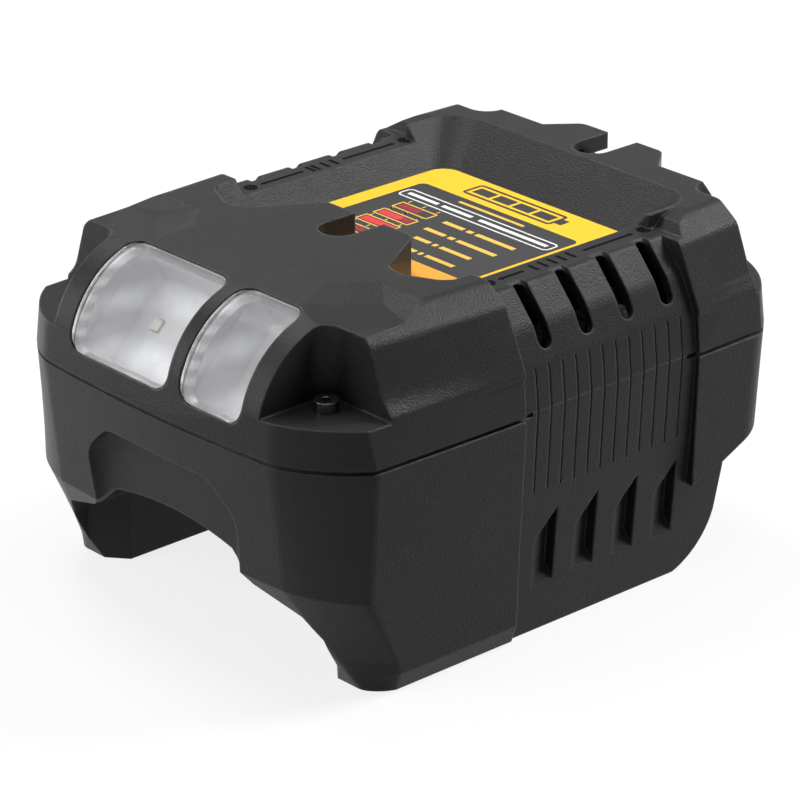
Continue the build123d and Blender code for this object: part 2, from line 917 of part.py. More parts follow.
def tunnel_block(grow):
    """Battery tunnel with its guide ledges, flared mouth and front arch."""
    arc_half = mouth_arc_half + grow * steep_share
    below = -overrun
    flap = mouth_lip_half - overrun
    with BuildPart() as block:
        with BuildSketch(above(tunnel_end + grow)):
            with BuildLine():
                Polyline(
                    (0, channel_top + grow),
                    (channel_half + grow, channel_top + grow),
                    (channel_half + grow, tunnel_guide + grow),
                    (tunnel_half + grow, tunnel_guide + grow),
                    (tunnel_half + grow, below),
                    (0, below),
                )
                mirror(about=Plane.YZ)
            make_face()
        extrude(amount=tunnel_end + scoop_face - wall + 2 * grow)
        with BuildSketch(above(-flare_front)):
            with BuildLine():
                ThreePointArc(
                    (-arc_half, mouth_arc_low + grow),
                    (0, mouth_crown + grow),
                    (arc_half, mouth_arc_low + grow),
                )
                Polyline(
                    (arc_half, mouth_arc_low + grow),
                    (mouth_lip_half + grow, mouth_lip_height + grow),
                    (mouth_step_half + grow, mouth_step_height + grow),
                    (mouth_side_half + grow, mouth_side_height),
                    (mouth_side_half + grow, below),
                    (-mouth_side_half - grow, below),
                    (-mouth_side_half - grow, mouth_side_height),
                    (-mouth_step_half - grow, mouth_step_height + grow),
                    (-mouth_lip_half - grow, mouth_lip_height + grow),
                    (-arc_half, mouth_arc_low + grow),
                )
            make_face()
        extrude(amount=half_length - flare_front + overrun)
    flare = []
    for side in (-1, 1):
        mouth = Polyline(
            (side * flap, mouth_lip_height + grow),
            (side * (mouth_step_half + grow), mouth_step_height + grow),
            (side * (mouth_side_half + grow), mouth_side_height),
            (side * (mouth_side_half + grow), below),
            (side * flap, below),
            close=True,
        )
        throat = Polyline(
            (side * flap, tunnel_guide + grow),
            (side * (tunnel_half + grow - throat_edge), tunnel_guide + grow),
            (side * (tunnel_half + grow), tunnel_guide + grow - throat_edge),
            (side * (tunnel_half + grow), below),
            (side * flap, below),
            close=True,
        )
        ends = [above(-flare_front) * make_face(mouth), above(-flare_rear) * make_face(throat)]
        flare.append(loft(ends, ruled=True))
    return block.part + flare


def scoop_block(grow):
    """Shallow scoop over the front arch."""
    with BuildPart() as block:
        with BuildSketch(above(-scoop_face + grow)) as face:
            with BuildLine():
                Polyline(
                    (-scoop_top_half - grow * flat_share, scoop_top + grow),
                    (scoop_top_half + grow * flat_share, scoop_top + grow),
                    (scoop_half + grow, scoop_top - scoop_corner_radius),
                    (scoop_half + grow, scoop_low),
                    (-scoop_half - grow, scoop_low),
                    (-scoop_half - grow, scoop_top - scoop_corner_radius),
                    close=True,
                )
            make_face()
            fillet(face.vertices().filter_by(lambda v: v.Y > scoop_low + overrun), scoop_corner_radius)
        extrude(amount=half_length - scoop_face + grow + overrun)
        back = block.faces().sort_by(Axis.Y)[-1]
        fillet(back.edges().filter_by(lambda e: e.center().Z > scoop_low + overrun), scoop_back_radius)
    return block.part


def slot_block():
    """Sloping slots over both shoulders, each with a ramp that opens on the rail's top."""
    with BuildPart() as block:
        for index in range(slot_count):
            centre = (slot_centre_x, slot_first + index * slot_pitch, slot_centre_z)
            tilt = Plane(origin=centre, x_dir=(0, 1, 0), z_dir=(slot_rise, 0, 1))
            with BuildSketch(tilt):
                RectangleRounded(slot_width, slot_length, slot_radius)
            extrude(amount=slot_depth, both=True)
            with BuildSketch(Plane.XZ.offset(-centre[1])):
                with BuildLine():
                    Polyline(
                        (slot_mouth, rail_top),
                        (slot_mouth + slot_ramp_run, rail_top + overrun),
                        (slot_mouth + slot_ramp_run, rail_top - slot_ramp_drop),
                        close=True,
                    )
                make_face()
            extrude(amount=slot_width / 2, both=True)
        mirror(about=Plane.YZ)
    return block.part


def panel_core(inset):
    """Middle of the charger across both halves, as deep as the grip grooves."""
    upper_section = panel_profile(above(panel_rear), inset)
    with BuildPart() as core:
        extrude(upper_section, amount=panel_rear - panel_front)
        with BuildSketch(above(panel_rear)):
            with BuildLine():
                Polyline(
                    (0, 0),
                    (panel_foot_side - inset, 0),
                    (panel_kink_side - inset, panel_kink_height),
                    (half_width - panel_in - inset, split_height),
                    (0, split_height),
                )
                mirror(about=Plane.YZ)
            make_face()
        extrude(amount=panel_rear - panel_front)
    return core.part


def groove_block():
    """Fine grip grooves down both sides."""
    core = panel_core(groove_depth)
    with BuildPart() as block:
        middle = groove_first + groove_pitch * (groove_count - 1) / 2
        with BuildSketch(Plane.XY.offset(panel_kink_height)):
            with Locations((0, middle)):
                with GridLocations(1, groove_pitch, 1, groove_count):
                    Rectangle(body_width, groove_width)
        extrude(amount=groove_top - panel_kink_height)
        add(core, mode=Mode.SUBTRACT)
    return block.part


def reveal_block():
    """Reveal groove under the split line, ending in a round dot in each grip panel."""
    base = split_height - reveal_height
    front_kept = split_outline(reveal_depth, side_inset, panel_rear, cheek_radius)
    rear_kept = mirror(split_outline(reveal_depth, 0, -panel_front, rear_cheek_radius), about=Plane.XZ)
    with BuildPart() as block:
        for side, edge, kept in ((-1, panel_front, front_kept), (1, panel_rear, rear_kept)):
            away = Align.MAX if side < 0 else Align.MIN
            with BuildSketch(Plane.XY.offset(base)):
                with Locations((0, edge)):
                    Rectangle(body_width + overrun, half_length, align=(Align.CENTER, away))
                add(kept, mode=Mode.SUBTRACT)
            extrude(amount=reveal_height)
            run_end = edge - side * reveal_overrun
            for wing in (-1, 1):
                outer = wing * half_width
                depth = 2 * (panel_in + reveal_depth)
                with Locations((outer, (edge + run_end) / 2, base)):
                    Box(depth, reveal_overrun, reveal_height, align=(Align.CENTER, Align.CENTER, Align.MIN))
                with Locations(Location((outer, run_end, split_height - reveal_height / 2), (0, 90, 0))):
                    Cylinder(reveal_end_radius, depth)
    return block.part


def louvre(start):
    """One wedge-shaped louvre with a slanted top and a sloping sill."""
    end = start + louvre_width
    base_x = panel_foot_side + louvre_low * louvre_lean
    with BuildPart() as wedge:
        with BuildSketch(Plane.XY.offset(louvre_low)):
            with BuildLine():
                Polyline(
                    (base_x, start),
                    (base_x - louvre_depth, end - louvre_back),
                    (base_x, end),
                    (base_x + wall, end),
                    (base_x + wall, start),
                    close=True,
                )
            make_face()
        extrude(amount=louvre_peak - louvre_low, dir=(louvre_lean, 0, 1))
    with BuildPart() as face:
        with BuildSketch(Plane.YZ.offset(base_x - 2 * wall)):
            with BuildLine():
                Polyline(
                    (start, louvre_low),
                    (start, louvre_high),
                    (end, louvre_peak),
                    (end, louvre_low),
                    close=True,
                )
            make_face()
        extrude(amount=reach)
    with BuildPart() as sill:
        with BuildSketch(above(end)):
            with BuildLine():
                Polyline(
                    (base_x, louvre_low),
                    (base_x - louvre_depth, louvre_low + louvre_sill),
                    (base_x - louvre_depth, louvre_peak),
                    (base_x + reach, louvre_peak),
                    (base_x + reach, louvre_low),
                    close=True,
                )
            make_face()
        extrude(amount=louvre_width)
    return wedge.part & face.part & sill.part


def louvre_block():
    """All louvres on both sides."""
    row = [louvre(louvre_start + index * louvre_pitch) for index in range(louvre_count)]
    with BuildPart() as block:
        add(row)
        mirror(about=Plane.YZ)
    return block.part


window_run = window_high_in - window_low_in
window_rise = window_high_z - window_low_z
window_height = Vector(window_run, window_rise).length
window_plane = Plane(
    origin=(0, -half_length + (window_low_in + window_high_in) / 2, (window_low_z + window_high_z) / 2),
    x_dir=(1, 0, 0),
    z_dir=(0, -window_rise, window_run),
)
windows = ((-window_edge, bar_left), (bar_right, window_edge))


def window_block(span, margin, low, high):
    """Rounded prism square to one light window, between two depths."""
    with BuildPart() as block:
        with BuildSketch(window_plane.offset(low)):
            with Locations(((span[0] + span[1]) / 2, 0)):
                width = span[1] - span[0] - 2 * margin
                radius = window_radius - margin * even_share
                RectangleRounded(width, window_height - 2 * margin, radius)
        extrude(amount=high - low)
    return block.part


def keep(part, label):
    """Name one solid and write it out."""
    part.label = label
    export_step(part, "parts/" + label + ".step")


# ------------------------------------------------------------------ upper housing
upper_outer = upper_form(0)
upper_inner = upper_form(wall)
tray_shell = tray_block(wall, tray_shell_front, tray_shell_spread)
tray = tray_block(0, tray_front, tray_shell_spread) - plate_edge(0)
pocket_shell = pocket_block(wall)
pockets = pocket_block(0)
facets = facet_block() + hump_front_block()
grooves = groove_block()
slots = slot_block()
window_holes = [window_block(span, 0, -window_pass, reach) for span in windows]

# ribs under the shell that hold the reflector boxes at both ends
lamp_rib_x = window_edge - box_margin + lamp_rib_thick / 2
with BuildPart() as lamp_ribs:
    with BuildSketch(window_plane.offset(-box_start - box_depth - light_board_thick)):
        with Locations((-lamp_rib_x, 0), (lamp_rib_x, 0)):
            Rectangle(lamp_rib_thick, body_width)
    extrude(amount=2 * reach)

with BuildPart() as upper_hollow:
    add(upper_inner)
    add(tray_shell, mode=Mode.SUBTRACT)
    add(pocket_shell, mode=Mode.SUBTRACT)
    add(facets.moved(Location((0, 0, -wall))), mode=Mode.SUBTRACT)
    add(lamp_ribs.part, mode=Mode.SUBTRACT)

plate_tip = plate_edge(0) & Pos(0, panel_front, tray_floor) * Box(
    2 * flank_half, tip_y - panel_front, tray_depth, align=(Align.CENTER, Align.MIN, Align.MIN)
)

with BuildPart() as tongues:
    with BuildSketch(Plane.XY.offset(body_height)) as tongue_face:
        with BuildLine():
            Polyline(
                (0, half_length - rear_edge_in - wall),
                (tongue_root, half_length - rear_edge_in - wall),
                (tongue_root, half_length - rear_edge_in),
                (tongue_outer, tongue_tip),
                (0, tongue_tip),
            )
            mirror(about=Plane.YZ)
        make_face()
        fillet(tongue_face.vertices().filter_by(lambda v: v.Y > tongue_tip - near), tongue_radius)
    extrude(amount=-tongue_thick)

with BuildPart() as upper_housing:
    add(upper_outer)
    add(tray, mode=Mode.SUBTRACT)
    with BuildSketch(Plane.XY.offset(rail_top)):
        with Locations((0, panel_front)):
            Rectangle(body_width, panel_rear - panel_front, align=(Align.CENTER, Align.MIN))
    extrude(amount=reach, mode=Mode.SUBTRACT)
    add(plate_tip)
    add(tongues.part)
    with BuildSketch(Plane.XY.offset(body_height + overrun)):
        with Locations((0, rear_notch_end + notch_half)):
            Circle(notch_half)
            Rectangle(2 * notch_half, reach, align=(Align.CENTER, Align.MIN))
    extrude(amount=-tongue_thick - overrun, mode=Mode.SUBTRACT)
    add(facets, mode=Mode.SUBTRACT)
    add(pockets, mode=Mode.SUBTRACT)
    add(upper_hollow.part, mode=Mode.SUBTRACT)
    add(window_holes, mode=Mode.SUBTRACT)
    add(slots, mode=Mode.SUBTRACT)
    add(grooves, mode=Mode.SUBTRACT)
    with BuildSketch(Plane.XY.offset(split_height)):
        with Locations(*screw_spots()):
            Circle(boss_radius)
    extrude(amount=ledge_rise - wall * even_share)
    with BuildSketch(Plane.XY.offset(split_height)):
        with Locations(*screw_spots()):
            Circle(screw_hole_radius)
    extrude(amount=ledge_rise + overrun, mode=Mode.SUBTRACT)
keep(upper_housing.part, "upper_housing")


# ------------------------------------------------------------------ lower housing
lower_outer = lower_form(0)
lower_inner = lower_form(wall)
tunnel = tunnel_block(0)
tunnel_shell = tunnel_block(wall)
scoop = scoop_block(0)
scoop_shell = scoop_block(wall)
reveal = reveal_block()
louvres = louvre_block()
with BuildPart() as louvre_backs:
    for index in range(louvre_count):
        start = louvre_start + index * louvre_pitch
        with Locations((panel_foot_side, start + louvre_width / 2, louvre_low)):
            Box(
                louvre_back_width,
                louvre_width + wall,
                louvre_peak - louvre_low,
                align=(Align.CENTER, Align.CENTER, Align.MIN),
            )
    mirror(about=Plane.YZ)
with BuildPart() as lower_hollow:
    add(lower_inner)
    add(tunnel_shell, mode=Mode.SUBTRACT)
    add(scoop_shell, mode=Mode.SUBTRACT)
    add(louvre_backs.part, mode=Mode.SUBTRACT)

post_spots = [(x, y) for x in (-post_x, post_x) for y in (post_front, post_rear)]
with BuildPart() as lower_bosses:
    with BuildSketch(Plane.XY.offset(split_height)):
        with Locations(*screw_spots()):
            Circle(boss_radius)
    extrude(amount=-boss_drop)
    with BuildSketch(Plane.XY.offset(board_z - sheet_thick)):
        with Locations(*post_spots):
            Circle(post_radius)
    extrude(amount=-post_drop)

blade_xs = [(index - (blade_count - 1) / 2) * blade_pitch for index in range(blade_count)]
with BuildPart() as blade_slots:
    with BuildSketch(Plane.XY.offset(channel_top)):
        with Locations(*[(x, blade_rear - blade_leg / 2) for x in blade_xs]):
            Rectangle(blade_thick + 2 * fit_gap, blade_leg + 2 * fit_gap)
    extrude(amount=blade_top - channel_top)

with BuildPart() as lower_housing:
    add(lower_outer)
    add(lower_hollow.part, mode=Mode.SUBTRACT)
    add(lower_bosses.part & lower_outer)
    add(tunnel, mode=Mode.SUBTRACT)
    add(scoop, mode=Mode.SUBTRACT)
    add(reveal, mode=Mode.SUBTRACT)
    add(grooves, mode=Mode.SUBTRACT)
    add(louvres, mode=Mode.SUBTRACT)
    add(blade_slots.part, mode=Mode.SUBTRACT)
    with BuildSketch(Plane.XY.offset(split_height)):
        with Locations(*screw_spots()):
            Circle(screw_hole_radius)
    extrude(amount=-screw_hole_depth, mode=Mode.SUBTRACT)
    with BuildSketch(Plane.XY.offset(board_z)):
        with Locations(*post_spots):
            Circle(post_hole_radius)
    extrude(amount=-post_screw_length, mode=Mode.SUBTRACT)
    with BuildSketch(above(half_length + overrun)):
        with Locations((gland_x, gland_z)):
            Circle(gland_hole_radius)
    extrude(amount=half_length + overrun - gland_inner_y, mode=Mode.SUBTRACT)
keep(lower_housing.part, "lower_housing")


# ------------------------------------------------------------------ light windows
lens_outer = upper_form(lens_sink)
lens_inner = upper_form(lens_sink + lens_thick)
lens_shell = lens_outer - lens_inner
for span, size in zip(windows, ("large", "small")):
    lens_prism = window_block(span, window_gap, -window_pass, reach)
    with BuildPart() as lens:
        add(lens_shell & lens_prism)
    keep(lens.part, "lens_" + size)

    width = span[1] - span[0]
    with BuildPart() as reflector:
        with BuildSketch(window_plane.offset(-box_start)):
            with Locations(((span[0] + span[1]) / 2, 0)):
                RectangleRounded(width - 2 * box_margin, window_height - 2 * box_margin, box_radius)
        extrude(amount=-box_depth)
        with BuildSketch(window_plane.offset(-box_start)):
            with Locations(((span[0] + span[1]) / 2, 0)):
                rim = 2 * (box_margin + box_wall)
                RectangleRounded(width - rim, window_height - rim, box_inner_radius)
        with BuildSketch(window_plane.offset(-box_start - box_depth + box_wall)):
            with Locations(((span[0] + span[1]) / 2, 0)):
                floor = 2 * (box_margin + box_floor_in)
                RectangleRounded(width - floor, window_height - floor, box_inner_radius)
        loft(ruled=True, mode=Mode.SUBTRACT)
        with BuildSketch(window_plane.offset(-box_start - box_depth)):
            with Locations(*[(x, 0) for x in emitter_xs if span[0] < x < span[1]]):
                Rectangle(emitter_size + 2 * fit_gap, emitter_size + 2 * fit_gap)
        extrude(amount=2 * box_wall, mode=Mode.SUBTRACT)
    keep(reflector.part, "reflector_" + size)

with BuildPart() as light_board:
    with BuildSketch(window_plane.offset(-box_start - box_depth)):
        RectangleRounded(2 * light_board_half, light_board_height, light_board_radius)
    extrude(amount=-light_board_thick)
keep(light_board.part, "light_board")

with BuildPart() as light_emitters:
    with BuildSketch(window_plane.offset(-box_start - box_depth)):
        with Locations(*[(x, 0) for x in emitter_xs]):
            Rectangle(emitter_size, emitter_size)
    extrude(amount=emitter_height)
keep(light_emitters.part, "light_emitters")

# ------------------------------------------------------------------ label
label_edge = plate_edge(label_margin)
with BuildPart() as label_plate:
    with BuildSketch(Plane.XY.offset(tray_floor)):
        with Locations((0, (tray_rear - label_margin + notch_end - label_margin) / 2)):
            RectangleRounded(
                2 * (tray_half - label_margin), tray_rear - notch_end, tray_low_radius - label_margin
            )
    extrude(amount=label_thick)
    add(label_edge, mode=Mode.SUBTRACT)
keep(label_plate.part, "label_plate")

# ------------------------------------------------------------------ fasteners
with BuildPart() as corner_screws:
    for x, y in screw_spots():
        with BuildSketch(Plane.XY.offset(ledge_height)):
            with Locations((x, y)):
                Circle(screw_head_radius)
        extrude(amount=screw_head_height)
        with BuildSketch(Plane.XY.offset(ledge_height)):
            with Locations((x, y)):
                Circle(screw_shank_radius)
        extrude(amount=-screw_length)
        with BuildSketch(Plane.XY.offset(ledge_height + screw_head_height)):
            with Locations((x, y)):
                RegularPolygon(screw_recess_radius, 6)
        extrude(amount=-screw_recess_depth, mode=Mode.SUBTRACT)
keep(corner_screws.part, "corner_screws")

with BuildPart() as board_screws:
    for x, y in post_spots:
        with BuildSketch(Plane.XY.offset(board_top)):
            with Locations((x, y)):
                Circle(post_screw_head)
        extrude(amount=post_screw_head_height)
        with BuildSketch(Plane.XY.offset(board_top)):
            with Locations((x, y)):
                Circle(post_screw_radius)
        extrude(amount=-post_screw_length)
keep(board_screws.part, "board_screws")


# ------------------------------------------------------------------ boards
def board_face(level, thick):
    """Board-shaped sheet with screw holes and blade slots."""
    with BuildPart() as sheet:
        with BuildSketch(Plane.XY.offset(level)) as face:
            with Locations((0, (board_front + board_rear) / 2)):
                Rectangle(2 * board_half, board_rear - board_front)
            chamfer(face.vertices().group_by(Axis.Y)[-1], board_chamfer)
            with Locations(*post_spots):
                Circle(post_hole_radius, mode=Mode.SUBTRACT)
            with Locations(*[(x, blade_rear - blade_leg / 2) for x in blade_xs]):
                Rectangle(blade_thick + 2 * fit_gap, blade_leg + 2 * fit_gap, mode=Mode.SUBTRACT)
        extrude(amount=thick)
    return sheet.part


main_board = board_face(board_z, board_thick)
keep(main_board, "main_board")
insulating_sheet = board_face(board_z - sheet_thick, sheet_thick)
keep(insulating_sheet, "insulating_sheet")


# ------------------------------------------------------------------ wound parts
def ferrite(x, y, width, depth, height, limb, window):
    """Upright shell core: outer frame with a centre limb between two windows."""
    with BuildPart() as core:
        with BuildSketch(above(y + depth / 2)):
            with Locations((x, board_top + height / 2)):
                Rectangle(width, height)
            for side in (-1, 1):
                with Locations((x + side * (limb + window) / 2, board_top + height / 2)):
                    Rectangle(window, height - limb, mode=Mode.SUBTRACT)
        extrude(amount=depth)
    return core.part


def winding(x, y, limb, depth, window, height, turns_out):
    """Coil round an upright limb, filling most of the two windows."""
    with BuildPart() as coil:
        coil_height = height - limb - 2 * coil_gap
        with BuildSketch(Plane.XY.offset(board_top + limb / 2 + coil_gap)):
            with Locations((x, y)):
                across = limb + 2 * (window - coil_gap)
                RectangleRounded(across, depth + 2 * turns_out, coil_radius)
                Rectangle(limb + 2 * coil_gap, depth + 2 * coil_gap, mode=Mode.SUBTRACT)
        extrude(amount=coil_height)
    return coil.part


transformer_core = ferrite(core_x, core_y, core_width, core_depth, core_height, core_limb, core_window)
keep(transformer_core, "transformer_core")
transformer_winding = winding(core_x, core_y, core_limb, core_depth, core_window, core_height, coil_out)
keep(transformer_winding, "transformer_winding")
choke_core = ferrite(choke_x, choke_y, choke_width, choke_depth, choke_height, choke_limb, choke_window)
keep(choke_core, "choke_core")
choke_winding = winding(choke_x, choke_y, choke_limb, choke_depth, choke_window, choke_height, choke_out)
keep(choke_winding, "choke_winding")


# ------------------------------------------------------------------ plain board parts
def cans(name, spots, radius, height):
    """Upright round cans on the board."""
    with BuildPart() as group:
        with BuildSketch(Plane.XY.offset(board_top)):
            with Locations(*spots):
                Circle(radius)
        extrude(amount=height)
        fillet(group.edges().filter_by(GeomType.CIRCLE).group_by(Axis.Z)[-1], can_edge)
    keep(group.part, name)


def block(name, x, y, size, edge):
    """One rectangular board part with slightly broken top edges."""
    with BuildPart() as body:
        with Locations((x, y, board_top)):
            Box(*size, align=(Align.CENTER, Align.CENTER, Align.MIN))
        chamfer(body.faces().sort_by(Axis.Z)[-1].edges(), edge)
    keep(body.part, name)


cans("bulk_capacitor", [(bulk_x, bulk_y)], bulk_radius, bulk_height)
output_spots = [(output_x, output_y), (output_x, output_y + output_pitch)]
cans("output_capacitors", output_spots, output_radius, output_height)
block("safety_capacitor", safety_x, safety_y, safety_size, small_edge)
block("bridge_rectifier", bridge_x, bridge_y, bridge_size, small_edge)
block("optocoupler", opto_x, opto_y, opto_size, small_edge)
block("controller_chip", chip_x, chip_y, chip_size, small_edge)

with BuildPart() as varistor:
    with BuildSketch(above(varistor_y + varistor_thick / 2)):
        with Locations((varistor_x, board_top + varistor_radius + varistor_leg)):
            Circle(varistor_radius)
        with Locations((varistor_x, board_top)):
            with GridLocations(varistor_radius, 1, 2, 1):
                Rectangle(varistor_lead, varistor_radius, align=(Align.CENTER, Align.MIN))
    extrude(amount=varistor_thick)
keep(varistor.part, "varistor")

with BuildPart() as fuse:
    fuse_z = board_top + fuse_cap_radius
    with BuildSketch(Plane.YZ.offset(fuse_x - fuse_length / 2)):
        with Locations((fuse_y, fuse_z)):
            Circle(fuse_cap_radius)
    extrude(amount=fuse_cap_length)
    with BuildSketch(Plane.YZ.offset(fuse_x + fuse_length / 2 - fuse_cap_length)):
        with Locations((fuse_y, fuse_z)):
            Circle(fuse_cap_radius)
    extrude(amount=fuse_cap_length)
    with BuildSketch(Plane.YZ.offset(fuse_x - fuse_length / 2)):
        with Locations((fuse_y, fuse_z)):
            Circle(fuse_radius)
    extrude(amount=fuse_length)
keep(fuse.part, "fuse")


# ------------------------------------------------------------------ power parts on heat sinks
def heat_sink(name, side):
    """Upright plate with fins towards the side wall."""
    with BuildPart() as sink:
        base = (side * sink_x, sink_y, board_top)
        with Locations(base):
            Box(sink_thick, sink_length, sink_height, align=(Align.CENTER, Align.CENTER, Align.MIN))
        with Locations((side * (sink_x + sink_thick / 2), sink_y, board_top + sink_foot)):
            with GridLocations(1, sink_length / sink_fins, 1, sink_fins):
                Box(
                    sink_fin_depth,
                    sink_thick,
                    sink_height - sink_foot,
                    align=(Align.MIN if side > 0 else Align.MAX, Align.CENTER, Align.MIN),
                )
    keep(sink.part, name)


def power_package(name, side):
    """Moulded package with its tab and three leads, flat on a heat sink."""
    with BuildPart() as package:
        face_x = side * (sink_x - sink_thick / 2)
        inward = Align.MAX if side > 0 else Align.MIN
        with Locations((face_x, sink_y, board_top + package_lift)):
            Box(package_tab, package_width, package_height, align=(inward, Align.CENTER, Align.MIN))
            Box(package_thick, package_width, package_body, align=(inward, Align.CENTER, Align.MIN))
        with Locations((face_x - side * package_tab, sink_y, board_top)):
            with GridLocations(1, package_pitch, 1, package_leads):
                Box(package_tab, package_lead, package_lift, align=(inward, Align.CENTER, Align.MIN))
    keep(package.part, name)


heat_sink("heat_sink_primary", -1)
heat_sink("heat_sink_output", 1)
power_package("switching_transistor", -1)
power_package("output_rectifier", 1)

# ------------------------------------------------------------------ battery contacts
with BuildPart() as contact_blades:
    for x in blade_xs:
        with BuildSketch(Plane.YZ.offset(x - blade_thick / 2)):
            with Locations((blade_front, blade_low)):
                Rectangle(blade_rear - blade_front, blade_high - blade_low, align=(Align.MIN, Align.MIN))
            with Locations((blade_rear - blade_leg, blade_low)):
                Rectangle(blade_leg, blade_top - blade_low, align=(Align.MIN, Align.MIN))
        extrude(amount=blade_thick)
keep(contact_blades.part, "contact_blades")

with BuildPart() as terminal_block:
    with Locations((0, (block_front + block_rear) / 2, channel_top)):
        Box(
            2 * block_half, block_rear - block_front, channel_top - block_low,
            align=(Align.CENTER, Align.CENTER, Align.MAX),
        )
    fillet(terminal_block.edges().filter_by(Axis.X).group_by(Axis.Z)[0], block_radius)
    add(contact_blades.part, mode=Mode.SUBTRACT)
keep(terminal_block.part, "terminal_block")

# ------------------------------------------------------------------ cord gland
with BuildPart() as cord_gland:
    with BuildSketch(above(gland_outer_y)):
        with Locations((gland_x, gland_z)):
            Circle(gland_sleeve_radius)
    extrude(amount=gland_outer_y - gland_inner_y)
    with BuildSketch(above(gland_flange_front + gland_flange_thick)):
        with Locations((gland_x, gland_z)):
            Circle(gland_flange_radius)
    extrude(amount=gland_flange_thick)
    with BuildSketch(above(gland_outer_y)):
        with Locations((gland_x, gland_z)):
            Circle(gland_bore_radius)
    extrude(amount=gland_outer_y - gland_inner_y, mode=Mode.SUBTRACT)
keep(cord_gland.part, "cord_gland")
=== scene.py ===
import math

import bmesh
import bpy
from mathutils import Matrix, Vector
from mathutils.bvhtree import BVHTree


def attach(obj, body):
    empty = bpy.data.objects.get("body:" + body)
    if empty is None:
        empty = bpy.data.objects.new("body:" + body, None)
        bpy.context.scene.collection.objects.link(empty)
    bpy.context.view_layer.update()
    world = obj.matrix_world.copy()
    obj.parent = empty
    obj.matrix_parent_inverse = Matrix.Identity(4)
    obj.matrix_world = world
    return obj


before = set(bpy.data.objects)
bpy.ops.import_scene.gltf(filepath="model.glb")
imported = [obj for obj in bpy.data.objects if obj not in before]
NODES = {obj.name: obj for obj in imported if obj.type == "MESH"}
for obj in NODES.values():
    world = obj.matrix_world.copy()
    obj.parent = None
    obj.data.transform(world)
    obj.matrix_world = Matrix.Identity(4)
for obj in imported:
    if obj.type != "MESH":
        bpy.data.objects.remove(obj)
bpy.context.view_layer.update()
MM = 0.001

# levels of the object that the added pieces stand on, and the height of a raised or printed film
RAIL_TOP = 85.3 * MM
LABEL_TOP = 79.5 * MM
FILM = 0.06 * MM


# ---------------------------------------------------------------- node trees
# sockets of a Mix node that mixes colours
MIX_FACTOR = 0
MIX_A = 6
MIX_B = 7
MIX_RESULT = 2
# the middle part of a noise, where most of its values lie
NOISE_SPAN = (0.3, 0.7)


class Graph:
    """Node tree of a material or a world, built with short calls."""

    def __init__(self, owner, output):
        self.owner = owner
        owner.use_nodes = True
        self.tree = owner.node_tree
        self.tree.nodes.clear()
        self.out = self.node(output)

    def plug(self, value, socket):
        """Link an output to a socket, or set the socket to a constant."""
        if isinstance(value, bpy.types.NodeSocket):
            self.tree.links.new(value, socket)
        else:
            socket.default_value = value

    def node(self, kind, inputs=None, **settings):
        """New node with its settings and its sockets filled."""
        made = self.tree.nodes.new("ShaderNode" + kind)
        for key, value in settings.items():
            setattr(made, key, value)
        for key, value in (inputs or {}).items():
            self.plug(value, made.inputs[key])
        return made

    def place(self):
        """Object-space position in metres."""
        return self.node("TexCoord").outputs["Object"]

    def noise(self, scale, detail=2.0, roughness=0.5):
        """Noise over the object's own position."""
        inputs = {"Vector": self.place(), "Scale": scale, "Detail": detail, "Roughness": roughness}
        return self.node("TexNoise", inputs).outputs["Fac"]

    def ramp(self, value, dark, light, stops=NOISE_SPAN):
        """Colour that runs from dark at the first stop to light at the second."""
        made = self.node("ValToRGB", {"Fac": value})
        for mark, position, colour in zip(made.color_ramp.elements, stops, (dark, light)):
            mark.position = position
            mark.color = (*colour, 1.0)
        return made.outputs["Color"]

    def span(self, value, source, target):
        """Value moved from one range to another, and held inside it."""
        inputs = {
            "Value": value,
            "From Min": source[0],
            "From Max": source[1],
            "To Min": target[0],
            "To Max": target[1],
        }
        return self.node("MapRange", inputs).outputs["Result"]

    def combine(self, operation, a, b):
        """Result of a calculation with two values."""
        return self.node("Math", {0: a, 1: b}, operation=operation).outputs[0]

    def mix(self, factor, a, b, blend_type="MIX"):
        """Two colours mixed by a factor."""
        inputs = {MIX_FACTOR: factor, MIX_A: a, MIX_B: b}
        return self.node("Mix", inputs, data_type="RGBA", blend_type=blend_type).outputs[MIX_RESULT]

    def bump(self, height, strength, distance, normal=None):
        """Normal with a relief, on top of another normal if one is given."""
        inputs = {"Height": height, "Strength": strength, "Distance": distance}
        if normal is not None:
            inputs["Normal"] = normal
        return self.node("Bump", inputs).outputs["Normal"]

    def own_normal(self):
        """Normal of the surface itself, before any relief."""
        return self.node("NewGeometry").outputs["Normal"]

    def seen(self):
        """One for camera, glossy and transmission rays, and zero for all others."""
        ray = self.node("LightPath").outputs
        mirrored = self.combine("MAXIMUM", ray["Is Camera Ray"], ray["Is Glossy Ray"])
        return self.combine("MAXIMUM", mirrored, ray["Is Transmission Ray"])

    def finish(self, shader):
        """The tree's owner, with a shader on its surface."""
        self.tree.links.new(shader, self.out.inputs["Surface"])
        return self.owner

    def principled(self, inputs):
        """The tree's owner, finished with one principled shader."""
        return self.finish(self.node("BsdfPrincipled", inputs).outputs["BSDF"])


def material_graph(name):
    """Empty node tree of a new material."""
    return Graph(bpy.data.materials.new(name), "OutputMaterial")


# ---------------------------------------------------------------- solid surfaces
MOTTLE_SCALE = 90.0
FINE_DETAIL = 3.0
GRAIN_ROUGHNESS = 0.6
GRAIN_SHADE = (0.85, 1.13)
GLOSS_SCALE = 225.0
GLOSS_LESS = 0.02
GLOSS_MORE = 0.03
BEVEL_SAMPLES = 4
# cosine between the rounded normal and the surface's own, where the painted edge highlight starts and
# where it is full
HIGHLIGHT_TURN = (0.99, 0.86)
HIGHLIGHT_SHARE = 0.8
HIGHLIGHT_GAIN = 4.0
HIGHLIGHT_LIFT = 0.05
PATCH_SCALE = 260.0
PATCH_DETAIL = 4.0
PATCH_SPAN = (0.35, 0.7)
PATCH_LEAST = 0.35
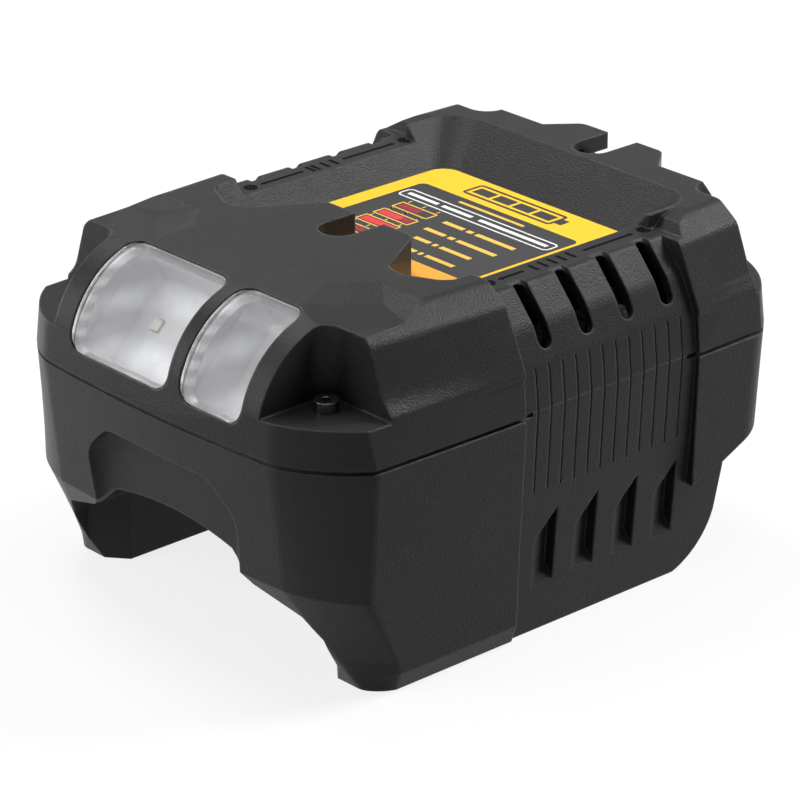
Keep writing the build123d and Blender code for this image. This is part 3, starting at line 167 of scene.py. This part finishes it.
# upward part of the normal over which the grain fades, and the share of it that is left on a level top
CALM_RISE = (0.985, 0.998)
CALM_SHARE = 0.25


def grained(g, colour, fine):
    """Colour shaded by the moulded grain."""
    shade = g.span(fine, NOISE_SPAN, GRAIN_SHADE)
    grey = g.node("CombineColor", {"Red": shade, "Green": shade, "Blue": shade}).outputs["Color"]
    return g.mix(1.0, colour, grey, "MULTIPLY")


def painted_edge_highlight(g, base, light, bevel_normal):
    """Base colour with a painted highlight, paler in patches where the surface turns an edge."""
    normals = {0: bevel_normal, 1: g.own_normal()}
    facing = g.node("VectorMath", normals, operation="DOT_PRODUCT").outputs["Value"]
    edge = g.span(facing, HIGHLIGHT_TURN, (0.0, HIGHLIGHT_SHARE))
    patchy = g.span(g.noise(PATCH_SCALE, PATCH_DETAIL), PATCH_SPAN, (PATCH_LEAST, 1.0))
    # pale colour of the painted edge highlight
    pale = tuple(min(1.0, part * HIGHLIGHT_GAIN + HIGHLIGHT_LIFT) for part in light)
    return g.mix(g.combine("MULTIPLY", edge, patchy), base, (*pale, 1.0))


def calm_strength(g):
    """Strength of a relief that fades on faces that look straight up, as on a mould's polished flats."""
    upward = g.node("SeparateXYZ", {"Vector": g.own_normal()}).outputs["Z"]
    return g.span(upward, CALM_RISE, (1.0, CALM_SHARE))


def surface(name, light, dark, rough, grain, depth, edge=0.0, calm=False, metallic=0.0, specular=0.5):
    """Solid material: slight colour mottle, moulded grain and uneven gloss.

    With edge, a radius in metres, edges look rounded and carry a painted highlight. With calm, level
    tops are nearly smooth.
    """
    g = material_graph(name)
    colour = g.ramp(g.noise(MOTTLE_SCALE, FINE_DETAIL), dark, light)
    fine = g.noise(grain, FINE_DETAIL, GRAIN_ROUGHNESS)
    base = grained(g, colour, fine)
    normal = None
    if edge:
        normal = g.node("Bevel", {"Radius": edge}, samples=BEVEL_SAMPLES).outputs["Normal"]
        # edges get a painted highlight
        base = painted_edge_highlight(g, base, light, normal)
    cloud = g.noise(GLOSS_SCALE, FINE_DETAIL)
    strength = calm_strength(g) if calm else 1.0
    return g.principled({
        "Base Color": base,
        "Roughness": g.span(cloud, NOISE_SPAN, (rough - GLOSS_LESS, rough + GLOSS_MORE)),
        "Metallic": metallic,
        "Specular IOR Level": specular,
        "Normal": g.bump(fine, strength, depth, normal),
    })


# ---------------------------------------------------------------- clear plastic
RIPPLE_SCALE = 140.0
RIPPLE_STRENGTH = 0.25
RIPPLE_DEPTH = 0.1 * MM
TINT_LIFT = 0.02
HAZE_SCALE = 600.0
HAZE_MORE = 0.05
LENS_IOR = 1.49


def clear_plastic(name, tint, rough):
    """Polished clear plastic with a very slight moulding ripple and haze."""
    g = material_graph(name)
    ripple = g.noise(RIPPLE_SCALE)
    pale = tuple(min(1.0, part + TINT_LIFT) for part in tint)
    return g.principled({
        "Base Color": g.ramp(ripple, tint, pale),
        "Roughness": g.span(g.noise(HAZE_SCALE), NOISE_SPAN, (rough, rough + HAZE_MORE)),
        "Transmission Weight": 1.0,
        "IOR": LENS_IOR,
        "Normal": g.bump(ripple, RIPPLE_STRENGTH, RIPPLE_DEPTH),
    })


# ---------------------------------------------------------------- mirror film
BAND_DISTORTION = 1.5
BAND_DETAIL = 2.0
BAND_DETAIL_SCALE = 0.6
BAND_STRENGTH = 0.14
BAND_DEPTH = 0.6 * MM
CLOUD_SCALE = 120.0
CLOUD_MORE = 0.12
STREAK_SPAN = (0.1, 0.55)


def mirror_film(name, light, dark, rough, pitch, metallic):
    """Silvery reflector with soft level bands and a slightly clouded skin."""
    g = material_graph(name)
    inputs = {
        "Vector": g.place(),
        "Scale": pitch,
        "Distortion": BAND_DISTORTION,
        "Detail": BAND_DETAIL,
        "Detail Scale": BAND_DETAIL_SCALE,
    }
    band = g.node("TexWave", inputs, bands_direction="Z", wave_profile="SIN").outputs["Fac"]
    cloud = g.noise(CLOUD_SCALE, FINE_DETAIL)
    return g.principled({
        "Base Color": g.ramp(g.combine("MULTIPLY", band, cloud), dark, light, STREAK_SPAN),
        "Metallic": metallic,
        "Roughness": g.span(cloud, NOISE_SPAN, (rough, rough + CLOUD_MORE)),
        "Normal": g.bump(band, BAND_STRENGTH, BAND_DEPTH),
    })


# ---------------------------------------------------------------- printed ink
DOT_SCALE = 5200.0
DOT_DETAIL = 1.0
DOT_SPAN = (0.4, 0.6)
DOT_STRENGTH = 0.3
DOT_DEPTH = 0.01 * MM
PALE_GAIN = 1.04
PALE_LIFT = 0.002
DEEP_GAIN = 0.93
SMEAR_SCALE = 150.0
SMEAR_LESS = 0.04
SMEAR_MORE = 0.06
INK_SPECULAR = 0.3
INK_ROUGH = 0.42


def film(name, colour, rough=INK_ROUGH):
    """Printed film: near-even ink with a slight print grain."""
    g = material_graph(name)
    dot = g.noise(DOT_SCALE, DOT_DETAIL)
    pale = tuple(min(1.0, part * PALE_GAIN + PALE_LIFT) for part in colour)
    deep = tuple(part * DEEP_GAIN for part in colour)
    smear = g.noise(SMEAR_SCALE, FINE_DETAIL)
    return g.principled({
        "Base Color": g.ramp(dot, deep, pale, DOT_SPAN),
        "Roughness": g.span(smear, NOISE_SPAN, (rough - SMEAR_LESS, rough + SMEAR_MORE)),
        "Specular IOR Level": INK_SPECULAR,
        "Normal": g.bump(dot, DOT_STRENGTH, DOT_DEPTH),
    })


# ---------------------------------------------------------------- materials
# the housing's edges get a painted highlight
housing = surface(
    "housing_plastic", light=(0.026, 0.026, 0.0265), dark=(0.022, 0.022, 0.0225), rough=0.38,
    grain=1900.0, depth=0.16 * MM, edge=0.8 * MM, calm=True, specular=0.18,
)
inner_black = surface(
    "moulded_black", light=(0.02, 0.02, 0.021), dark=(0.014, 0.014, 0.015), rough=0.42,
    grain=1800.0, depth=0.04 * MM,
)
rubber = surface(
    "soft_black", light=(0.03, 0.03, 0.03), dark=(0.02, 0.02, 0.02), rough=0.7,
    grain=1200.0, depth=0.06 * MM,
)
lens_clear = clear_plastic("clear_lens", tint=(0.97, 0.975, 0.98), rough=0.06)
silver = mirror_film(
    "silver_reflector", light=(0.88, 0.88, 0.89), dark=(0.6, 0.6, 0.61), rough=0.38,
    pitch=28.0, metallic=0.2,
)
satin = mirror_film(
    "satin_rim", light=(0.62, 0.62, 0.63), dark=(0.4, 0.4, 0.41), rough=0.3,
    pitch=90.0, metallic=0.4,
)
# the screws' edges get a painted highlight
black_steel = surface(
    "black_oxide", light=(0.16, 0.16, 0.165), dark=(0.08, 0.08, 0.085), rough=0.26,
    grain=2200.0, depth=0.02 * MM, edge=0.3 * MM, metallic=0.9,
)
zinc = surface(
    "zinc_plate", light=(0.6, 0.6, 0.58), dark=(0.45, 0.45, 0.44), rough=0.3,
    grain=2600.0, depth=0.02 * MM, metallic=1.0,
)
aluminium = surface(
    "plain_aluminium", light=(0.72, 0.73, 0.74), dark=(0.6, 0.61, 0.62), rough=0.34,
    grain=1400.0, depth=0.02 * MM, metallic=1.0,
)
brass = surface(
    "plated_brass", light=(0.72, 0.55, 0.26), dark=(0.6, 0.45, 0.2), rough=0.27,
    grain=2000.0, depth=0.02 * MM, metallic=1.0,
)
board_green = surface(
    "solder_mask", light=(0.03, 0.16, 0.06), dark=(0.02, 0.11, 0.04), rough=0.35,
    grain=900.0, depth=0.03 * MM,
)
paper = surface(
    "pressed_paper", light=(0.7, 0.66, 0.52), dark=(0.6, 0.56, 0.43), rough=0.75,
    grain=1600.0, depth=0.06 * MM,
)
sintered = surface(
    "ferrite", light=(0.07, 0.07, 0.075), dark=(0.045, 0.045, 0.05), rough=0.55,
    grain=1700.0, depth=0.06 * MM,
)
tape = surface(
    "yellow_tape", light=(0.8, 0.58, 0.07), dark=(0.7, 0.48, 0.05), rough=0.4,
    grain=700.0, depth=0.03 * MM,
)
copper = surface(
    "enamelled_copper", light=(0.55, 0.2, 0.06), dark=(0.42, 0.14, 0.04), rough=0.3,
    grain=2400.0, depth=0.1 * MM, metallic=0.7,
)
can_sleeve = surface(
    "can_sleeve", light=(0.02, 0.025, 0.06), dark=(0.015, 0.018, 0.045), rough=0.3,
    grain=1200.0, depth=0.02 * MM,
)
case_yellow = surface(
    "case_yellow", light=(0.75, 0.45, 0.06), dark=(0.65, 0.38, 0.05), rough=0.45,
    grain=1500.0, depth=0.04 * MM,
)
case_blue = surface(
    "case_blue", light=(0.03, 0.14, 0.4), dark=(0.02, 0.1, 0.3), rough=0.3,
    grain=800.0, depth=0.04 * MM,
)
frosted = surface(
    "frosted_emitter", light=(0.72, 0.71, 0.64), dark=(0.62, 0.61, 0.54), rough=0.35,
    grain=1500.0, depth=0.03 * MM,
)
glass_tube = surface(
    "fuse_body", light=(0.7, 0.7, 0.68), dark=(0.6, 0.6, 0.58), rough=0.15,
    grain=900.0, depth=0.02 * MM,
)
ink_yellow = film("ink_yellow", (0.98, 0.57, 0.035))
ink_grey = film("ink_grey", (0.047, 0.047, 0.048), rough=0.45)
ink_orange = film("ink_orange", (0.93, 0.42, 0.05))
ink_amber = film("ink_amber", (0.87, 0.55, 0.1))
ink_red = film("ink_red", (0.85, 0.05, 0.07))
ink_dark_red = film("ink_dark_red", (0.33, 0.03, 0.05))
ink_white = film("ink_white", (0.85, 0.85, 0.85))
# near-black film with almost no sheen: painted shade that stands in for engraved rail marks
painted_shade_mark = surface(
    "rail_mark_painted_shade", light=(0.007, 0.007, 0.007), dark=(0.004, 0.004, 0.004), rough=0.6,
    grain=1800.0, depth=0.02 * MM, specular=0.03,
)

LOOKS = {
    "upper_housing": housing,
    "lower_housing": housing,
    "lens_large": lens_clear,
    "lens_small": lens_clear,
    "reflector_large": silver,
    "reflector_small": silver,
    "light_board": board_green,
    "light_emitters": frosted,
    "label_plate": ink_yellow,
    "corner_screws": black_steel,
    "board_screws": zinc,
    "main_board": board_green,
    "insulating_sheet": paper,
    "transformer_core": sintered,
    "choke_core": sintered,
    "transformer_winding": tape,
    "choke_winding": copper,
    "bulk_capacitor": can_sleeve,
    "output_capacitors": can_sleeve,
    "safety_capacitor": case_yellow,
    "bridge_rectifier": inner_black,
    "optocoupler": inner_black,
    "controller_chip": inner_black,
    "varistor": case_blue,
    "fuse": glass_tube,
    "heat_sink_primary": aluminium,
    "heat_sink_output": aluminium,
    "switching_transistor": inner_black,
    "output_rectifier": inner_black,
    "contact_blades": brass,
    "terminal_block": inner_black,
    "cord_gland": rubber,
}
for node_name, look in LOOKS.items():
    slots = NODES[node_name].data.materials
    slots.clear()
    slots.append(look)


# ---------------------------------------------------------------- shapes
RIGHT_ANGLE = 90
CORNER_STEPS = 8
CIRCLE_STEPS = 40


def rounded(x0, y0, x1, y1, radius):
    """Counter-clockwise outline of a rounded rectangle."""
    centres = (
        (x1 - radius, y1 - radius),
        (x0 + radius, y1 - radius),
        (x0 + radius, y0 + radius),
        (x1 - radius, y0 + radius),
    )
    points = []
    for corner, (cx, cy) in enumerate(centres):
        for step in range(CORNER_STEPS + 1):
            turn = math.radians(corner * RIGHT_ANGLE + RIGHT_ANGLE * step / CORNER_STEPS)
            points.append((cx + radius * math.cos(turn), cy + radius * math.sin(turn)))
    return points


def circle(cx, cy, radius):
    """Counter-clockwise circle."""
    pitch = 2 * math.pi / CIRCLE_STEPS
    turns = [step * pitch for step in range(CIRCLE_STEPS)]
    return [(cx + radius * math.cos(turn), cy + radius * math.sin(turn)) for turn in turns]


def bar(x0, y0, x1, y1, width):
    """Straight bar of a given width between two points."""
    along = Vector((x1 - x0, y1 - y0)).normalized() * width / 2
    side = Vector((-along.y, along.x))
    return [
        (x0 - side.x, y0 - side.y),
        (x1 - side.x, y1 - side.y),
        (x1 + side.x, y1 + side.y),
        (x0 + side.x, y0 + side.y),
    ]


def level_ring(bm, loop, level):
    """Points of an outline in millimetres, at a level in metres."""
    return [bm.verts.new((x * MM, y * MM, level)) for x, y in loop]


def join_rings(bm, a, b):
    """Faces between two closed rings with equal counts."""
    for i in range(len(a)):
        j = (i + 1) % len(a)
        bm.faces.new((a[i], a[j], b[j], b[i]))


def add_film(bm, loop, low, high):
    """Thin flat plate with upright sides, from an outline."""
    bottom = level_ring(bm, loop, low)
    top = level_ring(bm, loop, high)
    bm.faces.new(list(reversed(bottom)))
    bm.faces.new(top)
    join_rings(bm, bottom, top)


def add_ring(bm, outer, inner, low, high):
    """Flat frame between two outlines with equal counts."""
    edges = ((outer, low), (outer, high), (inner, high), (inner, low))
    rings = [level_ring(bm, loop, level) for loop, level in edges]
    for a, b in zip(rings, rings[1:] + rings[:1]):
        join_rings(bm, a, b)


def add_skirt(bm, rings):
    """Open band through rings of points in metres, with equal counts."""
    rows = [[bm.verts.new(point) for point in ring] for ring in rings]
    for a, b in zip(rows, rows[1:]):
        join_rings(bm, a, b)


def piece(name, bm, material):
    """Finished mesh piece that rides on the charger."""
    bmesh.ops.recalc_face_normals(bm, faces=bm.faces)
    data = bpy.data.meshes.new(name)
    bm.to_mesh(data)
    bm.free()
    made = bpy.data.objects.new(name, data)
    bpy.context.scene.collection.objects.link(made)
    data.materials.append(material)
    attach(made, "root")
    return made


# ---------------------------------------------------------------- rail marks
MARK_X = 42.4
MARK_YS = (-11.5, 39.3)
MARK_RADIUS = 1.75
LINE = 0.85
CROSS_REACH = 0.6
HEAD_LENGTH = 1.3
HEAD_HALF = 0.8
# tail and tip of the arrows, and places of the ticks, on the left and the right rail
ARROWS = {-1: ((5.4, -8.3), (18.6, 36.0)), 1: ((-0.4, -8.4), (19.2, 35.8))}
TICK_HALF = 1.8
TICKS = {-1: (7.9, 9.6, 12.6, 15.6), 1: (3.0, 6.0, 9.0, 12.0, 15.0)}


def raise_mark(bm, loop):
    """Film on the rail's top."""
    add_film(bm, loop, RAIL_TOP, RAIL_TOP + FILM)


def crossed_circle(bm, x, y):
    """Ring with a small cross in it."""
    outer = circle(x, y, MARK_RADIUS)
    inner = circle(x, y, MARK_RADIUS - LINE)
    add_ring(bm, outer, inner, RAIL_TOP, RAIL_TOP + FILM)
    for reach in (-CROSS_REACH, CROSS_REACH):
        raise_mark(bm, bar(x - CROSS_REACH, y - reach, x + CROSS_REACH, y + reach, LINE / 2))


def arrow(bm, x, tail, tip):
    """Straight arrow along Y with a small pointed head."""
    way = math.copysign(1.0, tip - tail)
    neck = tip - way * HEAD_LENGTH
    raise_mark(bm, bar(x, tail, x, neck, LINE))
    head = [(x - HEAD_HALF, neck), (x + HEAD_HALF, neck), (x, tip)]
    raise_mark(bm, head if way > 0 else head[::-1])


def rail_marks():
    """Two crossed circles, two inches apart, with arrows and ticks, on each rail."""
    bm = bmesh.new()
    for side in (-1, 1):
        x = side * MARK_X
        for y in MARK_YS:
            crossed_circle(bm, x, y)
        for tail, tip in ARROWS[side]:
            arrow(bm, x, tail, tip)
        for y in TICKS[side]:
            raise_mark(bm, bar(x - TICK_HALF, y, x + TICK_HALF, y, LINE))
    # the marks are dark with painted shade
    piece("rail_marks", bm, painted_shade_mark)


rail_marks()


# ---------------------------------------------------------------- printed label
# layers of ink, counted up from the plate
BASE_LAYER = 0
TOP_LAYER = 1
PANEL = (-28.0, -4.9, 27.5, 32.7)
PANEL_RADIUS = 1.8
FRONT_BAND = (-28.0, -24.0, 27.5, -4.9)
BOX = (-26.8, 22.4, 26.3, 27.5)
BOX_RADIUS = 1.5
BOX_LINE = 0.5
BOX_BARS = ((-24.8, -14.2), (-12.6, -2.0), (0.6, 24.3))
BOX_BAR_LOW = 24.3
BOX_BAR_HIGH = 25.6
NAME_LINE = (-12.0, 29.5, 11.0, 30.5)
# left and right end of each row's bar, and the row's place along Y
ROWS = ((-4.2, 21.8, 17.7), (-4.2, 21.8, 11.5), (-1.5, 19.3, 5.6), (0.8, 20.2, -0.7))
ROW_HALF = 0.75
ROW_GAP = 1.2
ROW_SPLITS = (0.32, 0.44)
ICON_LEFT = -21.2
ICON_RIGHT = -8.5
ICON_HALF = 2.1
ICON_RADIUS = 0.5
ICON_LINE = 0.45
ICON_MARGIN = 1.0
# where each icon's first fill ends, and where a dark second one does, if it has one
ICON_FILLS = ((-12.8, None), (-13.0, -9.3), (-9.3, None), (-13.0, None))
# rows whose first fill is bright, and rows with strokes beside their icon
BRIGHT_ROWS = (1, 2)
BLINK_ROWS = (0, 1, 3)
BLINK_SHARES = (0.1, 0.5, 0.9)
BLINK_LENGTH = 1.3
BLINK_LINE = 0.35
BLINK_GAP = 0.5
CELL = (-17.0, 35.3, 14.0, 42.5)
CELL_RADIUS = 1.2
CELL_LINE = 0.8
CELL_NUB = (14.0, 37.3, 16.2, 40.5)
CELL_BLOCKS = 4
CELL_BLOCK_GAP = 1.1


def layer(index):
    """Lower and upper level of a layer of ink."""
    return LABEL_TOP + index * FILM, LABEL_TOP + (index + 1) * FILM


def block(bm, x0, y0, x1, y1, index):
    """Printed block between two corners."""
    add_film(bm, [(x0, y0), (x1, y0), (x1, y1), (x0, y1)], *layer(index))


def frame_line(bm, x0, y0, x1, y1, radius, line, index):
    """Printed outline of a rounded box."""
    outer = rounded(x0, y0, x1, y1, radius)
    inner = rounded(x0 + line, y0 + line, x1 - line, y1 - line, radius - line)
    add_ring(bm, outer, inner, *layer(index))


def label_grounds():
    """Grey panel and orange band."""
    panel = bmesh.new()
    add_film(panel, rounded(*PANEL, PANEL_RADIUS), *layer(BASE_LAYER))
    piece("label_panel", panel, ink_grey)
    band = bmesh.new()
    block(band, *FRONT_BAND, BASE_LAYER)
    piece("label_band", band, ink_orange)


def label_white():
    """Outlined box with three bars."""
    bm = bmesh.new()
    frame_line(bm, *BOX, BOX_RADIUS, BOX_LINE, TOP_LAYER)
    for x0, x1 in BOX_BARS:
        block(bm, x0, BOX_BAR_LOW, x1, BOX_BAR_HIGH, TOP_LAYER)
    piece("label_white", bm, ink_white)


def row_bar(bm, x0, x1, y):
    """A row's bar, broken at its splits."""
    splits = [x0 + (x1 - x0) * share for share in ROW_SPLITS]
    breaks = [x0, *splits, x1]
    for start, end in zip(breaks, breaks[1:]):
        block(bm, start, y - ROW_HALF, end - ROW_GAP, y + ROW_HALF, TOP_LAYER)


def row_icon(bm, y):
    """Outline of a row's icon."""
    frame_line(
        bm, ICON_LEFT, y - ICON_HALF, ICON_RIGHT, y + ICON_HALF, ICON_RADIUS, ICON_LINE, TOP_LAYER,
    )


def row_blinks(bm, y):
    """Short strokes on both sides of a row's icon, along Y."""
    for share in BLINK_SHARES:
        x = ICON_LEFT + (ICON_RIGHT - ICON_LEFT) * share
        for side in (-1, 1):
            start = y + side * (ICON_HALF + BLINK_GAP)
            add_film(bm, bar(x, start, x, start + side * BLINK_LENGTH, BLINK_LINE), *layer(TOP_LAYER))


def label_amber():
    """Plain line in the name's place, and the rows' bars, icon outlines and strokes."""
    bm = bmesh.new()
    block(bm, *NAME_LINE, TOP_LAYER)
    for x0, x1, y in ROWS:
        row_bar(bm, x0, x1, y)
    for x0, x1, y in ROWS:
        row_icon(bm, y)
    for row in BLINK_ROWS:
        row_blinks(bm, ROWS[row][2])
    piece("label_amber", bm, ink_amber)


def label_fills():
    """Bright and dark red fills of the icons."""
    bright = bmesh.new()
    deep = bmesh.new()
    for row, ((x0, x1, y), (middle, end)) in enumerate(zip(ROWS, ICON_FILLS)):
        low = y - ICON_HALF + ICON_MARGIN
        high = y + ICON_HALF - ICON_MARGIN
        first = bright if row in BRIGHT_ROWS else deep
        block(first, ICON_LEFT + ICON_MARGIN, low, middle, high, TOP_LAYER)
        if end is not None:
            block(deep, middle, low, end, high, TOP_LAYER)
    piece("label_red", bright, ink_red)
    piece("label_dark_red", deep, ink_dark_red)


def label_sign():
    """Generic battery sign in the yellow field."""
    bm = bmesh.new()
    frame_line(bm, *CELL, CELL_RADIUS, CELL_LINE, BASE_LAYER)
    block(bm, *CELL_NUB, BASE_LAYER)
    left, bottom, right, top = CELL
    first = left + CELL_LINE + CELL_BLOCK_GAP
    pitch = (right - CELL_LINE - first) / CELL_BLOCKS
    low = bottom + CELL_LINE + CELL_BLOCK_GAP
    high = top - CELL_LINE - CELL_BLOCK_GAP
    for i in range(CELL_BLOCKS):
        start = first + i * pitch
        block(bm, start, low, start + pitch - CELL_BLOCK_GAP, high, BASE_LAYER)
    piece("label_cell", bm, ink_grey)


label_grounds()
label_white()
label_amber()
label_fills()
label_sign()


# ---------------------------------------------------------------- rims and sleeves under the lenses
# lower and upper edge of the light windows, as seen from the side
WINDOW_LOW = Vector((0.0, -77.2, 64.4)) * MM
WINDOW_HIGH = Vector((0.0, -56.1, 86.9)) * MM
UP_SLOPE = (WINDOW_HIGH - WINDOW_LOW).normalized()
OUTWARD = Vector((1, 0, 0)).cross(UP_SLOPE)
WINDOW_LENGTH = (WINDOW_HIGH - WINDOW_LOW).length / MM
# left and right edge of each window
WINDOWS = {"large": (-31.1, 5.0), "small": (9.0, 31.1)}
WINDOW_RADIUS = 4.0
SIDE_POINTS = 10
# each ring's inset from the window's edge and depth under the lens
RIM = ((0.4, 0.12), (0.9, 0.12), (1.3, 0.35), (2.1, 1.0), (2.4, 1.35))
# the lens is sought outward from this depth, over this ring
SEEK_FROM = 2.8
SEEK_RING = 1
# the sleeve ends where the reflector's box starts
SLEEVE_FOOT_INSET = 1.55
SLEEVE_FOOT_DEPTH = 3.0
SLEEVE_STEPS = 3


def window_point(u, v, w):
    """Point on the window's own axes: across, up the slope and outward, in millimetres."""
    return WINDOW_LOW + Vector((u * MM, 0.0, 0.0)) + UP_SLOPE * (v * MM) + OUTWARD * (w * MM)


def window_loop(span, inset):
    """Rounded outline inside a window, with points along its straight sides."""
    left, right = span
    radius = WINDOW_RADIUS - inset / 2
    corners = rounded(left + inset, inset, right - inset, WINDOW_LENGTH - inset, radius)
    points = []
    for (x0, y0), (x1, y1) in zip(corners, corners[1:] + corners[:1]):
        steps = SIDE_POINTS if math.hypot(x1 - x0, y1 - y0) > WINDOW_RADIUS else 1
        points += [(x0 + (x1 - x0) * i / steps, y0 + (y1 - y0) * i / steps) for i in range(steps)]
    return points


def lens_heights(lens, loop):
    """Heights of the lens's inner face over window points in millimetres, or zero where none is met."""
    corners = [vertex.co for vertex in lens.data.vertices]
    faces = [polygon.vertices for polygon in lens.data.polygons]
    tree = BVHTree.FromPolygons(corners, faces)
    to_local = lens.matrix_world.inverted()
    way = (to_local.to_3x3() @ OUTWARD).normalized()
    heights = []
    for u, v in loop:
        hit = tree.ray_cast(to_local @ window_point(u, v, -SEEK_FROM), way)[0]
        if hit is None:
            heights.append(0.0)
        else:
            heights.append((lens.matrix_world @ hit - window_point(u, v, 0.0)).dot(OUTWARD) / MM)
    return heights


def lamp_lining(size, span):
    """Silvery rim under a lens, and the sleeve from the rim down to the reflector."""
    loops = [window_loop(span, inset) for inset, depth in RIM]
    heights = lens_heights(NODES["lens_" + size], loops[SEEK_RING])
    rings = []
    for loop, (inset, depth) in zip(loops, RIM):
        rings.append([window_point(u, v, height - depth) for (u, v), height in zip(loop, heights)])
    rim = bmesh.new()
    add_skirt(rim, rings)
    made = piece("lens_rim_" + size, rim, satin)
    made.data.shade_smooth()
    foot = [window_point(u, v, -SLEEVE_FOOT_DEPTH) for u, v in window_loop(span, SLEEVE_FOOT_INSET)]
    shares = [step / SLEEVE_STEPS for step in range(SLEEVE_STEPS + 1)]
    sleeve = bmesh.new()
    add_skirt(sleeve, [[a.lerp(b, share) for a, b in zip(rings[-1], foot)] for share in shares])
    made = piece("lamp_sleeve_" + size, sleeve, silver)
    made.data.shade_smooth()


for size, span in WINDOWS.items():
    lamp_lining(size, span)


# ---------------------------------------------------------------- camera
CAMERA_PLACE = (0.66904, -0.60545, 0.43086)
CAMERA_YAW = 47.881
CAMERA_PITCH = 23.479
SENSOR = 36.0
FOCAL_PIXELS = 4035.1
IMAGE_PIXELS = 800
CLIP_START = 0.01
CLIP_END = 50.0


def photo_camera():
    """Camera at the photograph's angle."""
    data = bpy.data.cameras.new("camera")
    data.sensor_width = SENSOR
    data.lens = FOCAL_PIXELS / IMAGE_PIXELS * SENSOR
    data.clip_start = CLIP_START
    data.clip_end = CLIP_END
    made = bpy.data.objects.new("camera", data)
    made.location = CAMERA_PLACE
    made.rotation_euler = (math.radians(RIGHT_ANGLE - CAMERA_PITCH), 0.0, math.radians(CAMERA_YAW))
    bpy.context.scene.collection.objects.link(made)
    bpy.context.scene.camera = made


photo_camera()


# ---------------------------------------------------------------- lamps
CENTRE = Vector((0.0, 0.0, 0.045))


def softbox(name, place, size, power):
    """Square area light aimed at the object."""
    data = bpy.data.lights.new(name, "AREA")
    data.shape = "SQUARE"
    data.size = size
    data.energy = power
    made = bpy.data.objects.new(name, data)
    made.location = place
    made.rotation_euler = (CENTRE - Vector(place)).to_track_quat("-Z", "Y").to_euler()
    bpy.context.scene.collection.objects.link(made)


softbox("top", place=(0.0, 0.0, 1.2), size=0.7, power=3.5)
softbox("front", place=(-0.5, -0.95, 0.6), size=0.6, power=5.5)
softbox("low_left", place=(-1.1, -0.42, 0.12), size=0.4, power=3.5)
softbox("back", place=(0.36, 0.78, 0.86), size=0.45, power=12.0)
softbox("left", place=(-0.62, 0.05, 1.05), size=0.4, power=6.0)


# ---------------------------------------------------------------- floor and backdrop
WHITE = (1.0, 1.0, 1.0, 1.0)
FLOOR_PLAIN = (0.1, 0.1, 0.1, 1.0)
FLOOR_SHADED = (0.18, 0.18, 0.18, 1.0)
FLOOR_GLOW = 0.82
FLOOR_HALF = 4.0
FLOOR_SEGMENTS = 2
FLOOR_DROP = 0.1 * MM
WORLD_LIGHT = 0.06
# the white backdrop ends at the first rise, and the dimmer studio starts at the second
BACKDROP_RISE = (0.12, 0.3)
STUDIO_LEVEL = 0.3


def floor_material():
    """Dull grey for the light on the object, and for the eye a white that keeps the shadow."""
    g = material_graph("studio_floor")
    plain = g.node("BsdfDiffuse", {"Color": FLOOR_PLAIN}).outputs[0]
    shaded = g.node("BsdfDiffuse", {"Color": FLOOR_SHADED}).outputs[0]
    glow = g.node("Emission", {"Color": WHITE, "Strength": FLOOR_GLOW}).outputs[0]
    both = g.node("AddShader", {0: shaded, 1: glow}).outputs[0]
    return g.finish(g.node("MixShader", {0: g.seen(), 1: plain, 2: both}).outputs[0])


def studio_floor():
    """Wide floor just under the feet."""
    grid = bmesh.new()
    bmesh.ops.create_grid(grid, x_segments=FLOOR_SEGMENTS, y_segments=FLOOR_SEGMENTS, size=FLOOR_HALF)
    data = bpy.data.meshes.new("floor")
    grid.to_mesh(data)
    grid.free()
    floor = bpy.data.objects.new("floor", data)
    floor.location = (0.0, 0.0, -FLOOR_DROP)
    data.materials.append(floor_material())
    bpy.context.scene.collection.objects.link(floor)


def studio_world():
    """Dim light on the object, and a backdrop that is white low down and through the lenses."""
    g = Graph(bpy.data.worlds.new("studio"), "OutputWorld")
    rise = g.node("SeparateXYZ", {"Vector": g.node("TexCoord").outputs["Generated"]}).outputs["Z"]
    backdrop = g.span(rise, BACKDROP_RISE, (1.0, STUDIO_LEVEL))
    level = g.combine("MAXIMUM", backdrop, g.node("LightPath").outputs["Is Transmission Ray"])
    dim = g.node("Background", {"Color": WHITE, "Strength": WORLD_LIGHT}).outputs[0]
    shown = g.node("Background", {"Color": WHITE, "Strength": level}).outputs[0]
    return g.finish(g.node("MixShader", {0: g.seen(), 1: dim, 2: shown}).outputs[0])


studio_floor()
bpy.context.scene.world = studio_world()
bpy.context.scene.view_settings.view_transform = "Standard"

bpy.context.view_layer.update()
